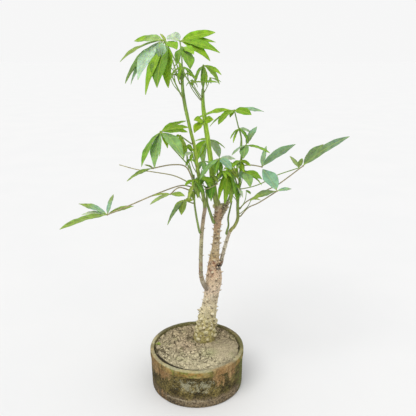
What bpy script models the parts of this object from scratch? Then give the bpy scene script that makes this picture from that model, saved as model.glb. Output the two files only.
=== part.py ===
"""A silk cotton tree trained as a bonsai, in its round clay pan.

Metres, +Z up, the origin under the middle of the pan, -Y to the front. A spiny trunk stands in a
hole in the soil and carries green shoots. Each palmate leaf is one object: its stalk and leaflets
are fused at the hub, and the stalk's foot stands just clear of the stem that it grows from.
"""

import math
import random

import bpy
from mathutils import Vector

GAP = 0.0003                  # clearance between neighbouring solids
MM = 0.001

# Clay pan
PAN_RADIUS = 0.115            # outside of the collar under the rim
PAN_WALL_RADIUS = 0.1135      # wall just below the collar
PAN_FOOT_RADIUS = 0.112
PAN_HEIGHT = 0.098
PAN_COLLAR = 0.016            # height of the collar
PAN_WALL = 0.010
PAN_FLOOR = 0.012
PAN_CORNER = 0.0035           # rounding between the wall and the foot
DRAIN_HOLES = 3
DRAIN_RADIUS = 0.006
DRAIN_RING = 0.050            # distance of the drain holes from the middle
DRAIN_SIDES = 12
PAN_SIDES = 32
RIM_BEVEL = 0.002             # how far the rim's edges are taken back, and the slope under the collar
RIM_BEVEL_DEPTH = 0.003
PAN_SMOOTH_ANGLE = 40          # edges sharper than this many degrees stay sharp

# Soil
SOIL_TOP = 0.0925
SOIL_SHOULDER = 0.004         # how far the surface has shrunk from the wall
SOIL_RELIEF = 0.0010          # height of the waves in the surface
SOIL_SHOULDER_DROP = 0.007    # depth of the shrunken edge below the top
SOIL_SINK = 0.0012            # how far the surface lies under the top on average
DOME_AT = (0.055, -0.005)     # a smooth low dome to the right of the trunk
DOME_HEIGHT = 0.0016
DOME_RADIUS = 0.030
SOIL_SIDES = 24
SOIL_RINGS = 7

# Trunk and stems
TRUNK_FOOT = (0.019, 0.045)
ROOT_PLUG_BOTTOM = 0.050      # lowest end of the trunk, in its hole in the soil
TRUNK_SIDES = 12
HOLE_SIDES = 24
CUTTER_OVERRUN = 0.020        # how far a cutter stands out of what it cuts
TRUNK_STEP = 0.019            # distance between rings along the trunk
TRUNK_LUMPS = 0.045           # how uneven the trunk's radius is
BRANCH_SIDES = 8
BRANCH_STEP = 0.026
THIN_SIDES = 6
THIN_STEP = 0.022
CUT_CLEAR = 0.15              # a ring this near a cut is left out, by the distance between rings
FOOT_LENGTH = 0.003           # straight start of a stalk or thin stem, square to the stem it stands on
FOOT_FLARE = 1.25             # how much wider a stalk is at its foot, and just above it
NECK_FLARE = 1.1

# Spines on the wood
SPINE_HEIGHT = 0.0050
SPINE_RADIUS = 0.0031
SPINE_SUNK = 0.0016
SPINE_SIDES = 4
SPINE_LEAN = 0.12             # how far a spine leans up the stem
SPINE_TOP_CLEAR = 0.006       # no spine stands nearer than this to the end of the wood
SPINE_COUNTS = {"middle": 90, "left": 14, "right": 10}
SPINE_START = {"middle": 0.112, "left": 0.262, "right": 0.304}
STUB_SPINES = 9
STUB_SPINES_START = 0.434
STUB_STEP = 0.012
GOLDEN_ANGLE = math.radians(137.5)
SEAT_CLEARANCE = 0.009        # no spine stands nearer than this to a stem's joint

# Leaves
BLADE_THICKNESS = 0.0008
BLADE_FOLD = 0.24             # rise of the edges over the midrib, by half width
BLADE_ARCH = 0.040            # rise of the midrib over its chord, by length
DROOP_ARCH = 0.080            # and how much more a hanging leaflet arches
BLADE_WAVE = 0.07             # wave of the edges, by width
BLADE_ROOT = 0.0009           # half width of a leaflet's own short stalk
ROOT_SHARE = 0.07             # length of that stalk, by the leaflet's length
BLADE_TIP = 0.0005
LONG_LEAFLET = 0.045          # leaflets over this length get one more ring
SHORT_LEAFLET = 0.031         # and those under this length one less
LONG_STATIONS = (0.0, ROOT_SHARE, 0.30, 0.58, 0.83, 1.0)
MIDDLE_STATIONS = (0.0, ROOT_SHARE, 0.42, 0.76, 1.0)
SHORT_STATIONS = (0.0, ROOT_SHARE, 0.50, 1.0)
STALK_SIDES = 4
STALK_RADIUS = 0.0014
SMALL_STALK_RADIUS = 0.0012   # on leaves whose longest leaflet is short
STALK_STEP = 0.024
HUB_RADIUS = 0.0021
HUB_REACH = 0.0014            # how far the knob reaches each way from the hub

# Limbs: points of the middle line with the radius there, from the foot up. Each limb is wood up to
# its wood_top height and green above it. The middle limb is the trunk itself.
LIMBS = {
    "middle": {
        "wood_top": 0.450,
        "points": [
            (0.019, 0.045, 0.094, 0.0275), (0.022, 0.045, 0.126, 0.0235), (0.025, 0.045, 0.145, 0.0215),
            (0.028, 0.045, 0.168, 0.0200), (0.033, 0.044, 0.197, 0.0178), (0.037, 0.042, 0.225, 0.0182),
            (0.041, 0.041, 0.250, 0.0200), (0.042, 0.040, 0.274, 0.0175), (0.041, 0.038, 0.295, 0.0140),
            (0.043, 0.036, 0.320, 0.0108), (0.046, 0.033, 0.350, 0.0086), (0.048, 0.030, 0.385, 0.0078),
            (0.050, 0.027, 0.415, 0.0090), (0.051, 0.025, 0.435, 0.0092), (0.049, 0.024, 0.450, 0.0078),
            (0.043, 0.022, 0.474, 0.0066), (0.039, 0.021, 0.500, 0.0066), (0.036, 0.020, 0.526, 0.0062),
            (0.033, 0.018, 0.556, 0.0056), (0.029, 0.017, 0.585, 0.0056), (0.025, 0.016, 0.612, 0.0055),
            (0.021, 0.015, 0.640, 0.0053), (0.017, 0.015, 0.671, 0.0044), (0.016, 0.015, 0.692, 0.0038),
            (0.016, 0.016, 0.709, 0.0032),
        ],
    },
    "left": {
        "wood_top": 0.452,
        "points": [
            (0.031, 0.040, 0.228, 0.0080), (0.019, 0.024, 0.246, 0.0062), (0.011, 0.013, 0.275, 0.0050),
            (0.010, 0.008, 0.314, 0.0046), (0.011, 0.006, 0.353, 0.0045), (0.013, 0.004, 0.391, 0.0044),
            (0.017, 0.002, 0.428, 0.0043), (0.020, 0.000, 0.452, 0.0043), (0.016, -0.002, 0.481, 0.0042),
            (0.009, -0.004, 0.512, 0.0041), (0.003, -0.006, 0.550, 0.0038), (-0.002, -0.009, 0.590, 0.0036),
            (-0.009, -0.010, 0.620, 0.0036), (-0.016, -0.010, 0.652, 0.0036), (-0.022, -0.010, 0.682, 0.0038),
            (-0.026, -0.010, 0.715, 0.0034), (-0.026, -0.010, 0.748, 0.0024),
        ],
    },
    "right": {
        "wood_top": 0.374,
        "points": [
            (0.045, 0.041, 0.283, 0.0070), (0.057, 0.048, 0.293, 0.0056), (0.063, 0.052, 0.315, 0.0046),
            (0.071, 0.055, 0.346, 0.0043), (0.080, 0.056, 0.374, 0.0042), (0.091, 0.056, 0.388, 0.0041),
            (0.098, 0.054, 0.408, 0.0038), (0.097, 0.051, 0.437, 0.0036), (0.098, 0.050, 0.465, 0.0035),
            (0.101, 0.050, 0.503, 0.0033), (0.103, 0.050, 0.540, 0.0030), (0.105, 0.050, 0.575, 0.0024),
        ],
    },
}

# The short spiny stub beside the fork, as points with the radius.
STUB = [(0.052, 0.026, 0.418, 0.0080), (0.064, 0.030, 0.440, 0.0068), (0.073, 0.034, 0.457, 0.0056)]

# Thin stems: what each grows from, the height of that joint, its points, and its radius at foot and tip.
THIN_STEMS = {
    "shoot_inner": ("middle", 0.408, [(0.029, 0.012, 0.444), (0.025, 0.012, 0.460), (0.024, 0.013, 0.482)],
                    0.0034, 0.0024),
    "shoot_side": ("left", 0.391, [(0.003, -0.009, 0.420), (-0.001, -0.013, 0.447), (-0.003, -0.014, 0.468),
                                   (-0.003, -0.013, 0.500), (-0.004, -0.010, 0.528)], 0.0026, 0.0018),
    "twig_bare": ("shoot_side", 0.508, [(-0.044, -0.030, 0.531), (-0.085, -0.050, 0.544),
                                        (-0.121, -0.060, 0.552), (-0.156, -0.065, 0.563)], 0.0013, 0.0009),
    "shoot_fork": ("right", 0.366, [(0.076, 0.056, 0.388), (0.075, 0.054, 0.408), (0.079, 0.053, 0.430),
                                    (0.083, 0.053, 0.450)], 0.0026, 0.0018),
    "shoot_stub": ("stub", 0.457, [(0.078, 0.036, 0.470), (0.082, 0.037, 0.486)], 0.0024, 0.0016),
}

# Leaves: the stem each grows from, the height of that joint, the points its stalk passes up to the
# hub, and its leaflets. A leaflet is its heading in degrees (0 right, 90 back, 180 left, 270 front),
# the droop of its tip below the hub in degrees, its length and width in mm, and the turn of its upper
# face to the front in degrees.
LEAVES = {
    "leaf_crown_left": (
        "left", 0.723, [(-0.046, -0.020, 0.771), (-0.062, -0.020, 0.809)],
        [(153, 1, 72, 24, 40), (214, 23, 106, 24, 0), (233, 44, 108, 30, 0), (245, 50, 88, 24, 5)],
    ),
    "leaf_crown_back": (
        "left", 0.738, [(-0.043, 0.020, 0.770), (-0.063, 0.045, 0.807)],
        [(173, 43, 128, 24, -25), (168, 47, 122, 24, 45), (141, 34, 72, 22, -10), (307, 21, 45, 26, 15),
         (131, -41, 26, 8, 15)],
    ),
    "leaf_crown_front": (
        "left", 0.696, [(-0.046, -0.045, 0.742), (-0.053, -0.068, 0.769), (-0.054, -0.075, 0.797)],
        [(261, 45, 104, 36, -20), (246, 47, 118, 26, -10), (278, 55, 92, 30, 40)],
    ),
    "leaf_crown_top": (
        "left", 0.743, [(-0.028, 0.015, 0.776), (-0.032, 0.030, 0.808)],
        [(24, -13, 84, 32, 60), (19, 1, 80, 18, 40), (340, 15, 92, 28, 40), (332, 29, 82, 26, 35),
         (127, -14, 50, 28, 30)],
    ),
    "leaf_crown_middle": (
        "middle", 0.690, [(0.000, -0.005, 0.710), (-0.023, -0.030, 0.749), (-0.025, -0.035, 0.795)],
        [(289, 37, 68, 32, -20), (261, 39, 50, 24, -35), (306, 18, 44, 20, 20)],
    ),
    "leaf_tip_left": (
        "left", 0.748, [(-0.026, -0.010, 0.757)],
        [(335, 38, 34, 8, 35), (242, 62, 32, 8, 15), (173, 37, 30, 7, 40)],
    ),
    "leaf_tip_middle": (
        "middle", 0.709, [(0.017, 0.024, 0.733), (0.017, 0.030, 0.759)],
        [(242, 44, 52, 18, -15), (271, 55, 60, 20, 45), (80, 51, 58, 12, 25), (37, 43, 60, 19, -15),
         (325, 22, 50, 15, 30)],
    ),
    "leaf_young_upper": (
        "middle", 0.696, [(0.016, -0.022, 0.727)],
        [(196, 4, 31, 8, 35), (345, 0, 32, 8, 50)],
    ),
    "leaf_young_middle": (
        "middle", 0.643, [(0.018, -0.012, 0.646)],
        [(232, 34, 38, 20, 10), (230, -9, 32, 17, 50), (310, -11, 32, 17, 70)],
    ),
    "leaf_upper_back": (
        "middle", 0.568, [(0.032, 0.045, 0.581), (0.027, 0.055, 0.596)],
        [(168, 63, 62, 26, 65), (197, 84, 66, 16, 40), (154, 10, 34, 8, 30), (33, 55, 55, 22, -35),
         (22, 28, 48, 6, 50)],
    ),
    "leaf_middle_right": (
        "middle", 0.500, [(0.048, 0.012, 0.528), (0.052, 0.000, 0.563)],
        [(307, 22, 45, 20, 20), (29, 7, 42, 12, 40), (226, 31, 72, 16, 5), (254, 42, 44, 12, -5)],
    ),
    "leaf_right_high": (
        "right", 0.573, [(0.102, 0.053, 0.600), (0.096, 0.056, 0.624), (0.086, 0.055, 0.662)],
        [(176, 14, 92, 27, 10), (225, 28, 58, 26, 0), (185, 33, 66, 6, 25), (238, 36, 24, 10, 15),
         (319, 8, 48, 22, 40), (13, 4, 70, 16, 25)],
    ),
    "leaf_right_middle": (
        "right", 0.566, [(0.103, 0.040, 0.597), (0.097, 0.035, 0.624)],
        [(226, 33, 36, 7, 0), (239, 45, 40, 8, -15), (300, 38, 46, 11, -5), (26, 21, 32, 9, 50)],
    ),
    "leaf_right_round": (
        "right", 0.557, [(0.111, 0.020, 0.589)],
        [(221, 22, 46, 12, -5), (257, 37, 40, 22, -15), (324, 10, 62, 12, 15), (51, -41, 56, 18, 0)],
    ),
    "leaf_right_outer": (
        "right", 0.538, [(0.127, 0.040, 0.540), (0.149, 0.030, 0.538)],
        [(331, -37, 96, 24, -45), (66, -56, 52, 14, -15)],
    ),
    "leaf_right_low": (
        "right", 0.414, [(0.121, 0.035, 0.440), (0.143, 0.015, 0.458), (0.180, -0.010, 0.492)],
        [(123, -37, 66, 34, 15), (202, 13, 68, 20, 15), (25, -1, 38, 10, 35)],
    ),
    "leaf_far_right": (
        "right", 0.434, [(0.120, 0.052, 0.451), (0.164, 0.050, 0.478), (0.191, 0.048, 0.493),
                         (0.244, 0.040, 0.538)],
        [(332, -37, 124, 24, 50), (24, -41, 70, 24, 20)],
    ),
    "leaf_far_right_small": (
        "right", 0.481, [(0.130, 0.062, 0.483), (0.156, 0.065, 0.492), (0.184, 0.060, 0.510),
                         (0.231, 0.020, 0.538)],
        [(123, -34, 38, 10, 25), (282, -56, 30, 12, -10)],
    ),
    "leaf_right_inner": (
        "right", 0.514, [(0.108, 0.020, 0.527)],
        [(23, 23, 52, 20, 40), (289, 34, 44, 24, -5), (24, 36, 58, 7, 55)],
    ),
    "leaf_stem_right": (
        "right", 0.547, [(0.100, 0.028, 0.553)],
        [(229, 20, 34, 14, 10), (251, 32, 30, 11, -20), (312, 14, 32, 12, 20), (282, 37, 34, 10, -5)],
    ),
    "leaf_left_middle": (
        "shoot_side", 0.524, [(-0.014, -0.022, 0.550), (-0.031, -0.035, 0.574), (-0.052, -0.048, 0.602),
                              (-0.070, -0.055, 0.630)],
        [(243, 39, 94, 22, -20), (263, 44, 90, 27, -30), (270, 49, 58, 8, 65), (296, 38, 46, 14, -15),
         (312, 31, 84, 28, 10), (37, -15, 66, 16, 20), (32, 5, 64, 22, 30), (325, -11, 74, 16, 35)],
    ),
    "leaf_left_inner": (
        "left", 0.599, [(-0.031, -0.030, 0.618)],
        [(78, 69, 58, 18, 20), (266, 42, 38, 12, 55), (232, 4, 14, 8, 35)],
    ),
    "leaf_left_small": (
        "shoot_side", 0.526, [(-0.013, 0.008, 0.545), (-0.019, 0.010, 0.567), (-0.021, 0.005, 0.590)],
        [(312, 2, 20, 10, 45), (307, 27, 26, 7, 10)],
    ),
    "leaf_left_trailing": (
        "shoot_side", 0.516, [(-0.020, -0.035, 0.552), (-0.048, -0.055, 0.561), (-0.086, -0.070, 0.557)],
        [(226, 13, 70, 12, 10), (224, -25, 24, 6, 45)],
    ),
    "leaf_left_low": (
        "shoot_side", 0.492, [(-0.033, -0.055, 0.512), (-0.051, -0.075, 0.503)],
        [(324, -3, 38, 13, 35), (222, 13, 54, 10, 25), (159, 12, 44, 6, 35)],
    ),
    "leaf_far_left": (
        "shoot_side", 0.502, [(-0.034, -0.020, 0.507), (-0.082, -0.050, 0.497), (-0.132, -0.080, 0.482),
                              (-0.180, -0.100, 0.466)],
        [(234, -1, 120, 22, 10), (159, 7, 64, 14, 20), (151, -9, 78, 18, 10), (83, -33, 56, 14, -25),
         (46, -3, 68, 12, 25)],
    ),
    "leaf_left_droop": (
        "shoot_side", 0.466, [(-0.024, -0.030, 0.477)],
        [(261, 33, 42, 20, -15), (165, 40, 34, 7, 50), (234, 35, 72, 11, 0), (352, -1, 18, 11, 45)],
    ),
    "leaf_centre_left": (
        "shoot_side", 0.484, [(-0.001, -0.030, 0.517)],
        [(249, 39, 46, 12, -20), (284, 36, 40, 15, -15), (303, 29, 40, 12, -5)],
    ),
    "leaf_centre_dark": (
        "middle", 0.496, [(0.040, -0.008, 0.509)],
        [(259, 44, 46, 15, -25), (215, -28, 36, 14, 75)],
    ),
    "leaf_centre_right": (
        "right", 0.476, [(0.090, 0.035, 0.506), (0.074, 0.020, 0.532)],
        [(221, 11, 32, 6, 20), (225, 23, 46, 14, 15), (236, 56, 72, 16, -15), (259, 48, 84, 24, 50),
         (278, 66, 74, 16, -20), (288, 50, 66, 12, -20)],
    ),
    "leaf_centre_low": (
        "right", 0.466, [(0.095, 0.030, 0.489)],
        [(260, 36, 34, 15, 50), (298, 39, 28, 10, -10), (239, 20, 34, 13, 10)],
    ),
    "leaf_centre_back": (
        "middle", 0.491, [(0.024, 0.045, 0.509)],
        [(222, 11, 44, 14, 30), (234, 29, 40, 12, 5), (282, 43, 36, 12, -25), (125, 5, 40, 9, 15)],
    ),
    "leaf_centre_high": (
        "right", 0.491, [(0.084, 0.066, 0.528)],
        [(238, 28, 38, 15, 35), (262, 42, 40, 18, 10), (291, 31, 38, 15, 25), (128, 18, 36, 10, 45)],
    ),
    "leaf_left_fork": (
        "left", 0.548, [(-0.007, -0.022, 0.580)],
        [(237, 2, 30, 9, 35), (266, 33, 28, 9, -25)],
    ),
}




def clear_scene():
    for obj in list(bpy.data.objects):
        bpy.data.objects.remove(obj, do_unlink=True)


def make_material(name, colour, roughness):
    material = bpy.data.materials.new(name)
    material.use_nodes = True
    shader = material.node_tree.nodes["Principled BSDF"]
    shader.inputs["Base Color"].default_value = (*colour, 1.0)
    shader.inputs["Roughness"].default_value = roughness
    shader.inputs["Metallic"].default_value = 0.0
    return material


def object_from(name, verts, faces, material=None):
    mesh = bpy.data.meshes.new(name)
    mesh.from_pydata([tuple(v) for v in verts], [], faces)
    obj = bpy.data.objects.new(name, mesh)
    bpy.context.scene.collection.objects.link(obj)
    if material:
        mesh.materials.append(material)
    return obj


# Routes

def curve_point(a, b, c, d, t):
    """The point at t between b and c on a smooth curve through a, b, c and d."""
    return tuple(
        0.5 * (2 * q + (r - p) * t + (2 * p - 5 * q + 4 * r - s) * t ** 2 + (3 * q - p - 3 * r + s) * t ** 3)
        for p, q, r, s in zip(a, b, c, d)
    )


def smooth_route(points, step):
    """Points about a step apart on a smooth curve through the given ones, with any radius they carry."""
    ends = [points[0], *points, points[-1]]
    route = []
    for a, b, c, d in zip(ends, ends[1:], ends[2:], ends[3:]):
        parts = max(1, round((Vector(c[:3]) - Vector(b[:3])).length / step))
        route += [curve_point(a, b, c, d, i / parts) for i in range(parts)]
    return route + [tuple(points[-1])]


def cut_route(route, height):
    """The route below and above a height, both holding the point on it."""
    for i, (low, high) in enumerate(zip(route, route[1:])):
        if low[2] <= height <= high[2]:
            t = (height - low[2]) / (high[2] - low[2])
            middle = tuple(p + (q - p) * t for p, q in zip(low, high))
            below = route[:i + 1] if t > CUT_CLEAR else route[:i]
            above = route[i + 1:] if t < 1 - CUT_CLEAR else route[i + 2:]
            return below + [middle], [middle] + above
    return route, []


def point_at(route, height):
    """Middle, radius and direction of a route at a height."""
    for low, high in zip(route, route[1:]):
        if low[2] <= height <= high[2]:
            break
    t = min(1.0, max(0.0, (height - low[2]) / (high[2] - low[2])))
    middle = Vector(low[:3]).lerp(Vector(high[:3]), t)
    radius = low[3] + (high[3] - low[3]) * t
    return middle, radius, (Vector(high[:3]) - Vector(low[:3])).normalized()


def seat_on(route, height, target):
    """Where a stalk stands on a stem, just clear of its skin, and the way it sets off."""
    middle, radius, along = point_at(route, height)
    if height >= route[-1][2] - 1e-6:
        return Vector(route[-1][:3]) + along * GAP, along
    out = Vector(target) - middle
    out = (out - along * out.dot(along)).normalized()
    return middle + out * (radius + GAP), out


# Tubes and cones

def ways_along(points):
    """The direction of a route at each of its points."""
    last = len(points) - 1
    return [(points[min(i + 1, last)] - points[max(i - 1, 0)]).normalized() for i in range(len(points))]


def tube(route, sides, first_way=None, last_way=None, uneven=None):
    """Vertices and faces of a closed tube along a route whose points carry their radius."""
    points = [Vector(p[:3]) for p in route]
    ways = ways_along(points)
    if first_way:
        ways[0] = first_way
    if last_way:
        ways[-1] = last_way
    side = ways[0].orthogonal()
    verts = []
    for i, (point, way) in enumerate(zip(points, ways)):
        # Each ring starts from the side of the one before, so the skin doesn't twist.
        side = (side - way * side.dot(way)).normalized()
        across = way.cross(side)
        for k in range(sides):
            angle = math.tau * k / sides
            radius = route[i][3] * (1 + (uneven(i, k) if uneven else 0.0))
            verts.append(point + (side * math.cos(angle) + across * math.sin(angle)) * radius)
    faces = [tuple(range(sides - 1, -1, -1))]
    for i in range(len(points) - 1):
        for k in range(sides):
            a = i * sides + k
            b = i * sides + (k + 1) % sides
            faces.append((a, b, b + sides, a + sides))
    faces.append(tuple(range((len(points) - 1) * sides, len(points) * sides)))
    return verts, faces


def spine(foot, way, height, radius, turn):
    """Vertices and faces of a pointed spine."""
    side = way.orthogonal().normalized()
    across = way.cross(side)
    verts = []
    for k in range(SPINE_SIDES):
        angle = turn + math.tau * k / SPINE_SIDES
        verts.append(foot + (side * math.cos(angle) + across * math.sin(angle)) * radius)
    verts.append(foot + way * height)
    faces = [tuple(range(SPINE_SIDES - 1, -1, -1))]
    faces += [(k, (k + 1) % SPINE_SIDES, SPINE_SIDES) for k in range(SPINE_SIDES)]
    return verts, faces


def fuse(name, shapes, material):
    """One object from shapes that run into each other. The EXACT solver leaves loose bodies here."""
    base = object_from(name, *shapes[0])
    group = bpy.data.collections.new(name + "_parts")
    bpy.context.scene.collection.children.link(group)
    for index, shape in enumerate(shapes[1:]):
        piece = object_from(f"{name}_part_{index}", *shape)
        bpy.context.scene.collection.objects.unlink(piece)
        group.objects.link(piece)
    union = base.modifiers.new("union", "BOOLEAN")
    union.operation = "UNION"
    union.solver = "MANIFOLD"
    union.operand_type = "COLLECTION"
    union.collection = group
    graph = bpy.context.evaluated_depsgraph_get()
    fused = bpy.data.meshes.new_from_object(base.evaluated_get(graph))
    fused.name = name
    base.modifiers.clear()
    base.data = fused
    fused.materials.clear()
    fused.materials.append(material)
    for piece in list(group.objects):
        bpy.data.objects.remove(piece, do_unlink=True)
    bpy.data.collections.remove(group)
    return base


# Pan and soil

def lathe(profile, sides):
    """Vertices and faces of a solid turned from (radius, height) points that start and end on the axis."""
    rings = profile[1:-1]
    verts = [Vector((0.0, 0.0, profile[0][1]))]
    for radius, height in rings:
        for k in range(sides):
            angle = math.tau * k / sides
            verts.append(Vector((radius * math.cos(angle), radius * math.sin(angle), height)))
    verts.append(Vector((0.0, 0.0, profile[-1][1])))
    top = 1 + (len(rings) - 1) * sides
    faces = []
    for k in range(sides):
        n = (k + 1) % sides
        faces.append((0, 1 + n, 1 + k))
        faces.append((top + sides, top + k, top + n))
        for low in range(1, top, sides):
            faces.append((low + k, low + n, low + sides + n, low + sides + k))
    return verts, faces


def pan_profile():
    """The pan's section, from under its middle out, up the wall and down the inside to the floor."""
    corner = [
        (PAN_FOOT_RADIUS - PAN_CORNER * (1 - math.sin(angle)), PAN_CORNER * (1 - math.cos(angle)))
        for angle in (0.0, math.pi / 6, math.pi / 3, math.pi / 2)
    ]
    collar_foot = PAN_HEIGHT - PAN_COLLAR
    inner = PAN_RADIUS - PAN_WALL
    return [
        (0.0, 0.0),
        *corner,
        (PAN_WALL_RADIUS, collar_foot - RIM_BEVEL),
        (PAN_RADIUS, collar_foot),
        (PAN_RADIUS, PAN_HEIGHT - RIM_BEVEL_DEPTH),
        (PAN_RADIUS - RIM_BEVEL, PAN_HEIGHT),
        (inner + RIM_BEVEL, PAN_HEIGHT),
        (inner, PAN_HEIGHT - RIM_BEVEL_DEPTH),
        (inner, PAN_FLOOR),
        (0.0, PAN_FLOOR),
    ]


def make_pan(material):
    pan = object_from("pot", *lathe(pan_profile(), PAN_SIDES), material)
    for k in range(DRAIN_HOLES):
        angle = math.tau * k / DRAIN_HOLES
        x = DRAIN_RING * math.cos(angle)
        y = DRAIN_RING * math.sin(angle)
        hole = [(x, y, -CUTTER_OVERRUN, DRAIN_RADIUS), (x, y, PAN_FLOOR + CUTTER_OVERRUN, DRAIN_RADIUS)]
        cut(pan, f"drain_hole_{k}", tube(hole, DRAIN_SIDES))
    pan.data.shade_smooth()
    pan.data.set_sharp_from_angle(angle=math.radians(PAN_SMOOTH_ANGLE))
    return pan


def cut(obj, name, shape):
    """Cuts a shape from an object with a hidden cutter."""
    cutter = object_from(name, *shape)
    cutter.hide_render = True
    cutter.display_type = "WIRE"
    modifier = obj.modifiers.new(name, "BOOLEAN")
    modifier.operation = "DIFFERENCE"
    modifier.object = cutter


def soil_height(x, y):
    """Height of the crumbly surface, with low waves and a smooth dome at the right."""
    waves = math.sin(61 * x + 17) * math.sin(53 * y + 5) + 0.6 * math.sin(127 * x - 88 * y)
    from_dome = math.hypot(x - DOME_AT[0], y - DOME_AT[1]) / DOME_RADIUS
    return SOIL_TOP - SOIL_SINK + SOIL_RELIEF * waves + DOME_HEIGHT * math.exp(-from_dome ** 2)


def make_soil(material):
    """Soil as rings of points from the middle out and down the wall, with a plain hole for the trunk."""
    outer = (PAN_RADIUS - PAN_WALL) * math.cos(math.pi / PAN_SIDES) - GAP
    rings = [(outer * i / SOIL_RINGS, None) for i in range(1, SOIL_RINGS)]
    rings += [(outer - SOIL_SHOULDER, None), (outer, SOIL_TOP - SOIL_SHOULDER_DROP), (outer, PAN_FLOOR + GAP)]
    verts = [Vector((0.0, 0.0, soil_height(0.0, 0.0)))]
    for radius, height in rings:
        for k in range(SOIL_SIDES):
            angle = math.tau * k / SOIL_SIDES
            x = radius * math.cos(angle)
            y = radius * math.sin(angle)
            verts.append(Vector((x, y, soil_height(x, y) if height is None else height)))
    faces = [(0, 1 + k, 1 + (k + 1) % SOIL_SIDES) for k in range(SOIL_SIDES)]
    for ring in range(len(rings) - 1):
        start = 1 + ring * SOIL_SIDES
        for k in range(SOIL_SIDES):
            a = start + k
            b = start + (k + 1) % SOIL_SIDES
            faces += [(a, a + SOIL_SIDES, b), (b, a + SOIL_SIDES, b + SOIL_SIDES)]
    bottom = 1 + (len(rings) - 1) * SOIL_SIDES
    faces.append(tuple(bottom + k for k in range(SOIL_SIDES - 1, -1, -1)))
    soil = object_from("soil", verts, faces, material)
    x, y = TRUNK_FOOT
    radius = LIMBS["middle"]["points"][0][3] / math.cos(math.pi / HOLE_SIDES) + GAP
    hole = [(x, y, ROOT_PLUG_BOTTOM - GAP, radius), (x, y, SOIL_TOP + CUTTER_OVERRUN, radius)]
    cut(soil, "root_hole", tube(hole, HOLE_SIDES))
    return soil


# Wood and stems

def limb_routes():
    """Each limb's whole route, wood and green together."""
    return {
        name: smooth_route(limb["points"], TRUNK_STEP if name == "middle" else BRANCH_STEP)
        for name, limb in LIMBS.items()
    }


def trunk_lumps(ring, k):
    """Low uneven swellings round the trunk, none on the plug that stands in the soil."""
    if ring < 2:
        return 0.0
    return TRUNK_LUMPS * math.sin(2.1 * k + 1.7 * ring) * math.cos(1.3 * ring - 0.9 * k)


def spines_on(route, count, low, seats, draw):
    """Conical spines wound round a stem by the golden angle, with a little seeded scatter."""
    shapes = []
    top = route[-1][2] - SPINE_TOP_CLEAR
    for i in range(count):
        height = low + (top - low) * (i + draw.uniform(0.2, 0.8)) / count
        middle, radius, along = point_at(route, height)
        side = along.orthogonal().normalized()
        angle = i * GOLDEN_ANGLE + draw.uniform(-0.4, 0.4)
        out = side * math.cos(angle) + along.cross(side) * math.sin(angle)
        size = draw.uniform(0.8, 1.15)
        turn = draw.uniform(0.0, 1.5)
        foot = middle + out * (radius - SPINE_SUNK)
        if any((foot - seat).length < SEAT_CLEARANCE for seat in seats):
            continue
        way = (out + along * SPINE_LEAN).normalized()
        shapes.append(spine(foot, way, SPINE_HEIGHT * size + SPINE_SUNK, SPINE_RADIUS * size, turn))
    return shapes


def make_trunk(limbs, stub, seats, material):
    """Trunk, woody branches, stub and spines, fused."""
    draw = random.Random(11)
    x, y = TRUNK_FOOT
    shapes = []
    spines = []
    for name, route in limbs.items():
        wood_top = LIMBS[name]["wood_top"]
        wood, _ = cut_route(route, wood_top)
        top_way = point_at(route, wood_top)[2]
        if name == "middle":
            plug = (x, y, ROOT_PLUG_BOTTOM, LIMBS[name]["points"][0][3])
            shapes.append(tube([plug, *wood], TRUNK_SIDES, Vector((0, 0, 1)), top_way, trunk_lumps))
        else:
            shapes.append(tube(wood, BRANCH_SIDES, last_way=top_way))
        spines += spines_on(wood, SPINE_COUNTS[name], SPINE_START[name], seats, draw)
    shapes.append(tube(stub, BRANCH_SIDES))
    spines += spines_on(stub, STUB_SPINES, STUB_SPINES_START, seats, draw)
    return fuse("trunk", shapes + spines, material)


def make_shoot(name, limb, route, material):
    """The green part of a limb. It starts a gap beyond the wood's end, square to it."""
    wood_top = LIMBS[limb]["wood_top"]
    _, green = cut_route(route, wood_top)
    way = point_at(route, wood_top)[2]
    start = Vector(green[0][:3]) + way * GAP
    green[0] = (*start, green[0][3])
    shoot = object_from(name, *tube(green, BRANCH_SIDES, first_way=way), material)
    shoot.data.shade_smooth()
    return shoot


def thin_stem_route(stems, spec):
    parent, height, points, foot, tip = spec
    start, way = seat_on(stems[parent], height, points[0])
    count = len(points) + 1
    knots = [(*start, foot), (*(start + way * FOOT_LENGTH), foot)]
    knots += [(*p, foot + (tip - foot) * (i + 1) / (count - 1)) for i, p in enumerate(points)]
    return smooth_route(knots, THIN_STEP), way


# Leaves

def blade_half_width(t, width):
    """Half width of a leaflet at t along it: a slim root, widest near the middle, a drawn-out tip."""
    if t <= ROOT_SHARE:
        return BLADE_ROOT
    share = (t - ROOT_SHARE) / (1 - ROOT_SHARE)
    swell = max(0.0, math.sin(math.pi * share ** 0.85)) ** 0.9
    return BLADE_ROOT * (1 - share) + BLADE_TIP * share + (width / 2 - BLADE_ROOT) * swell


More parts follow.
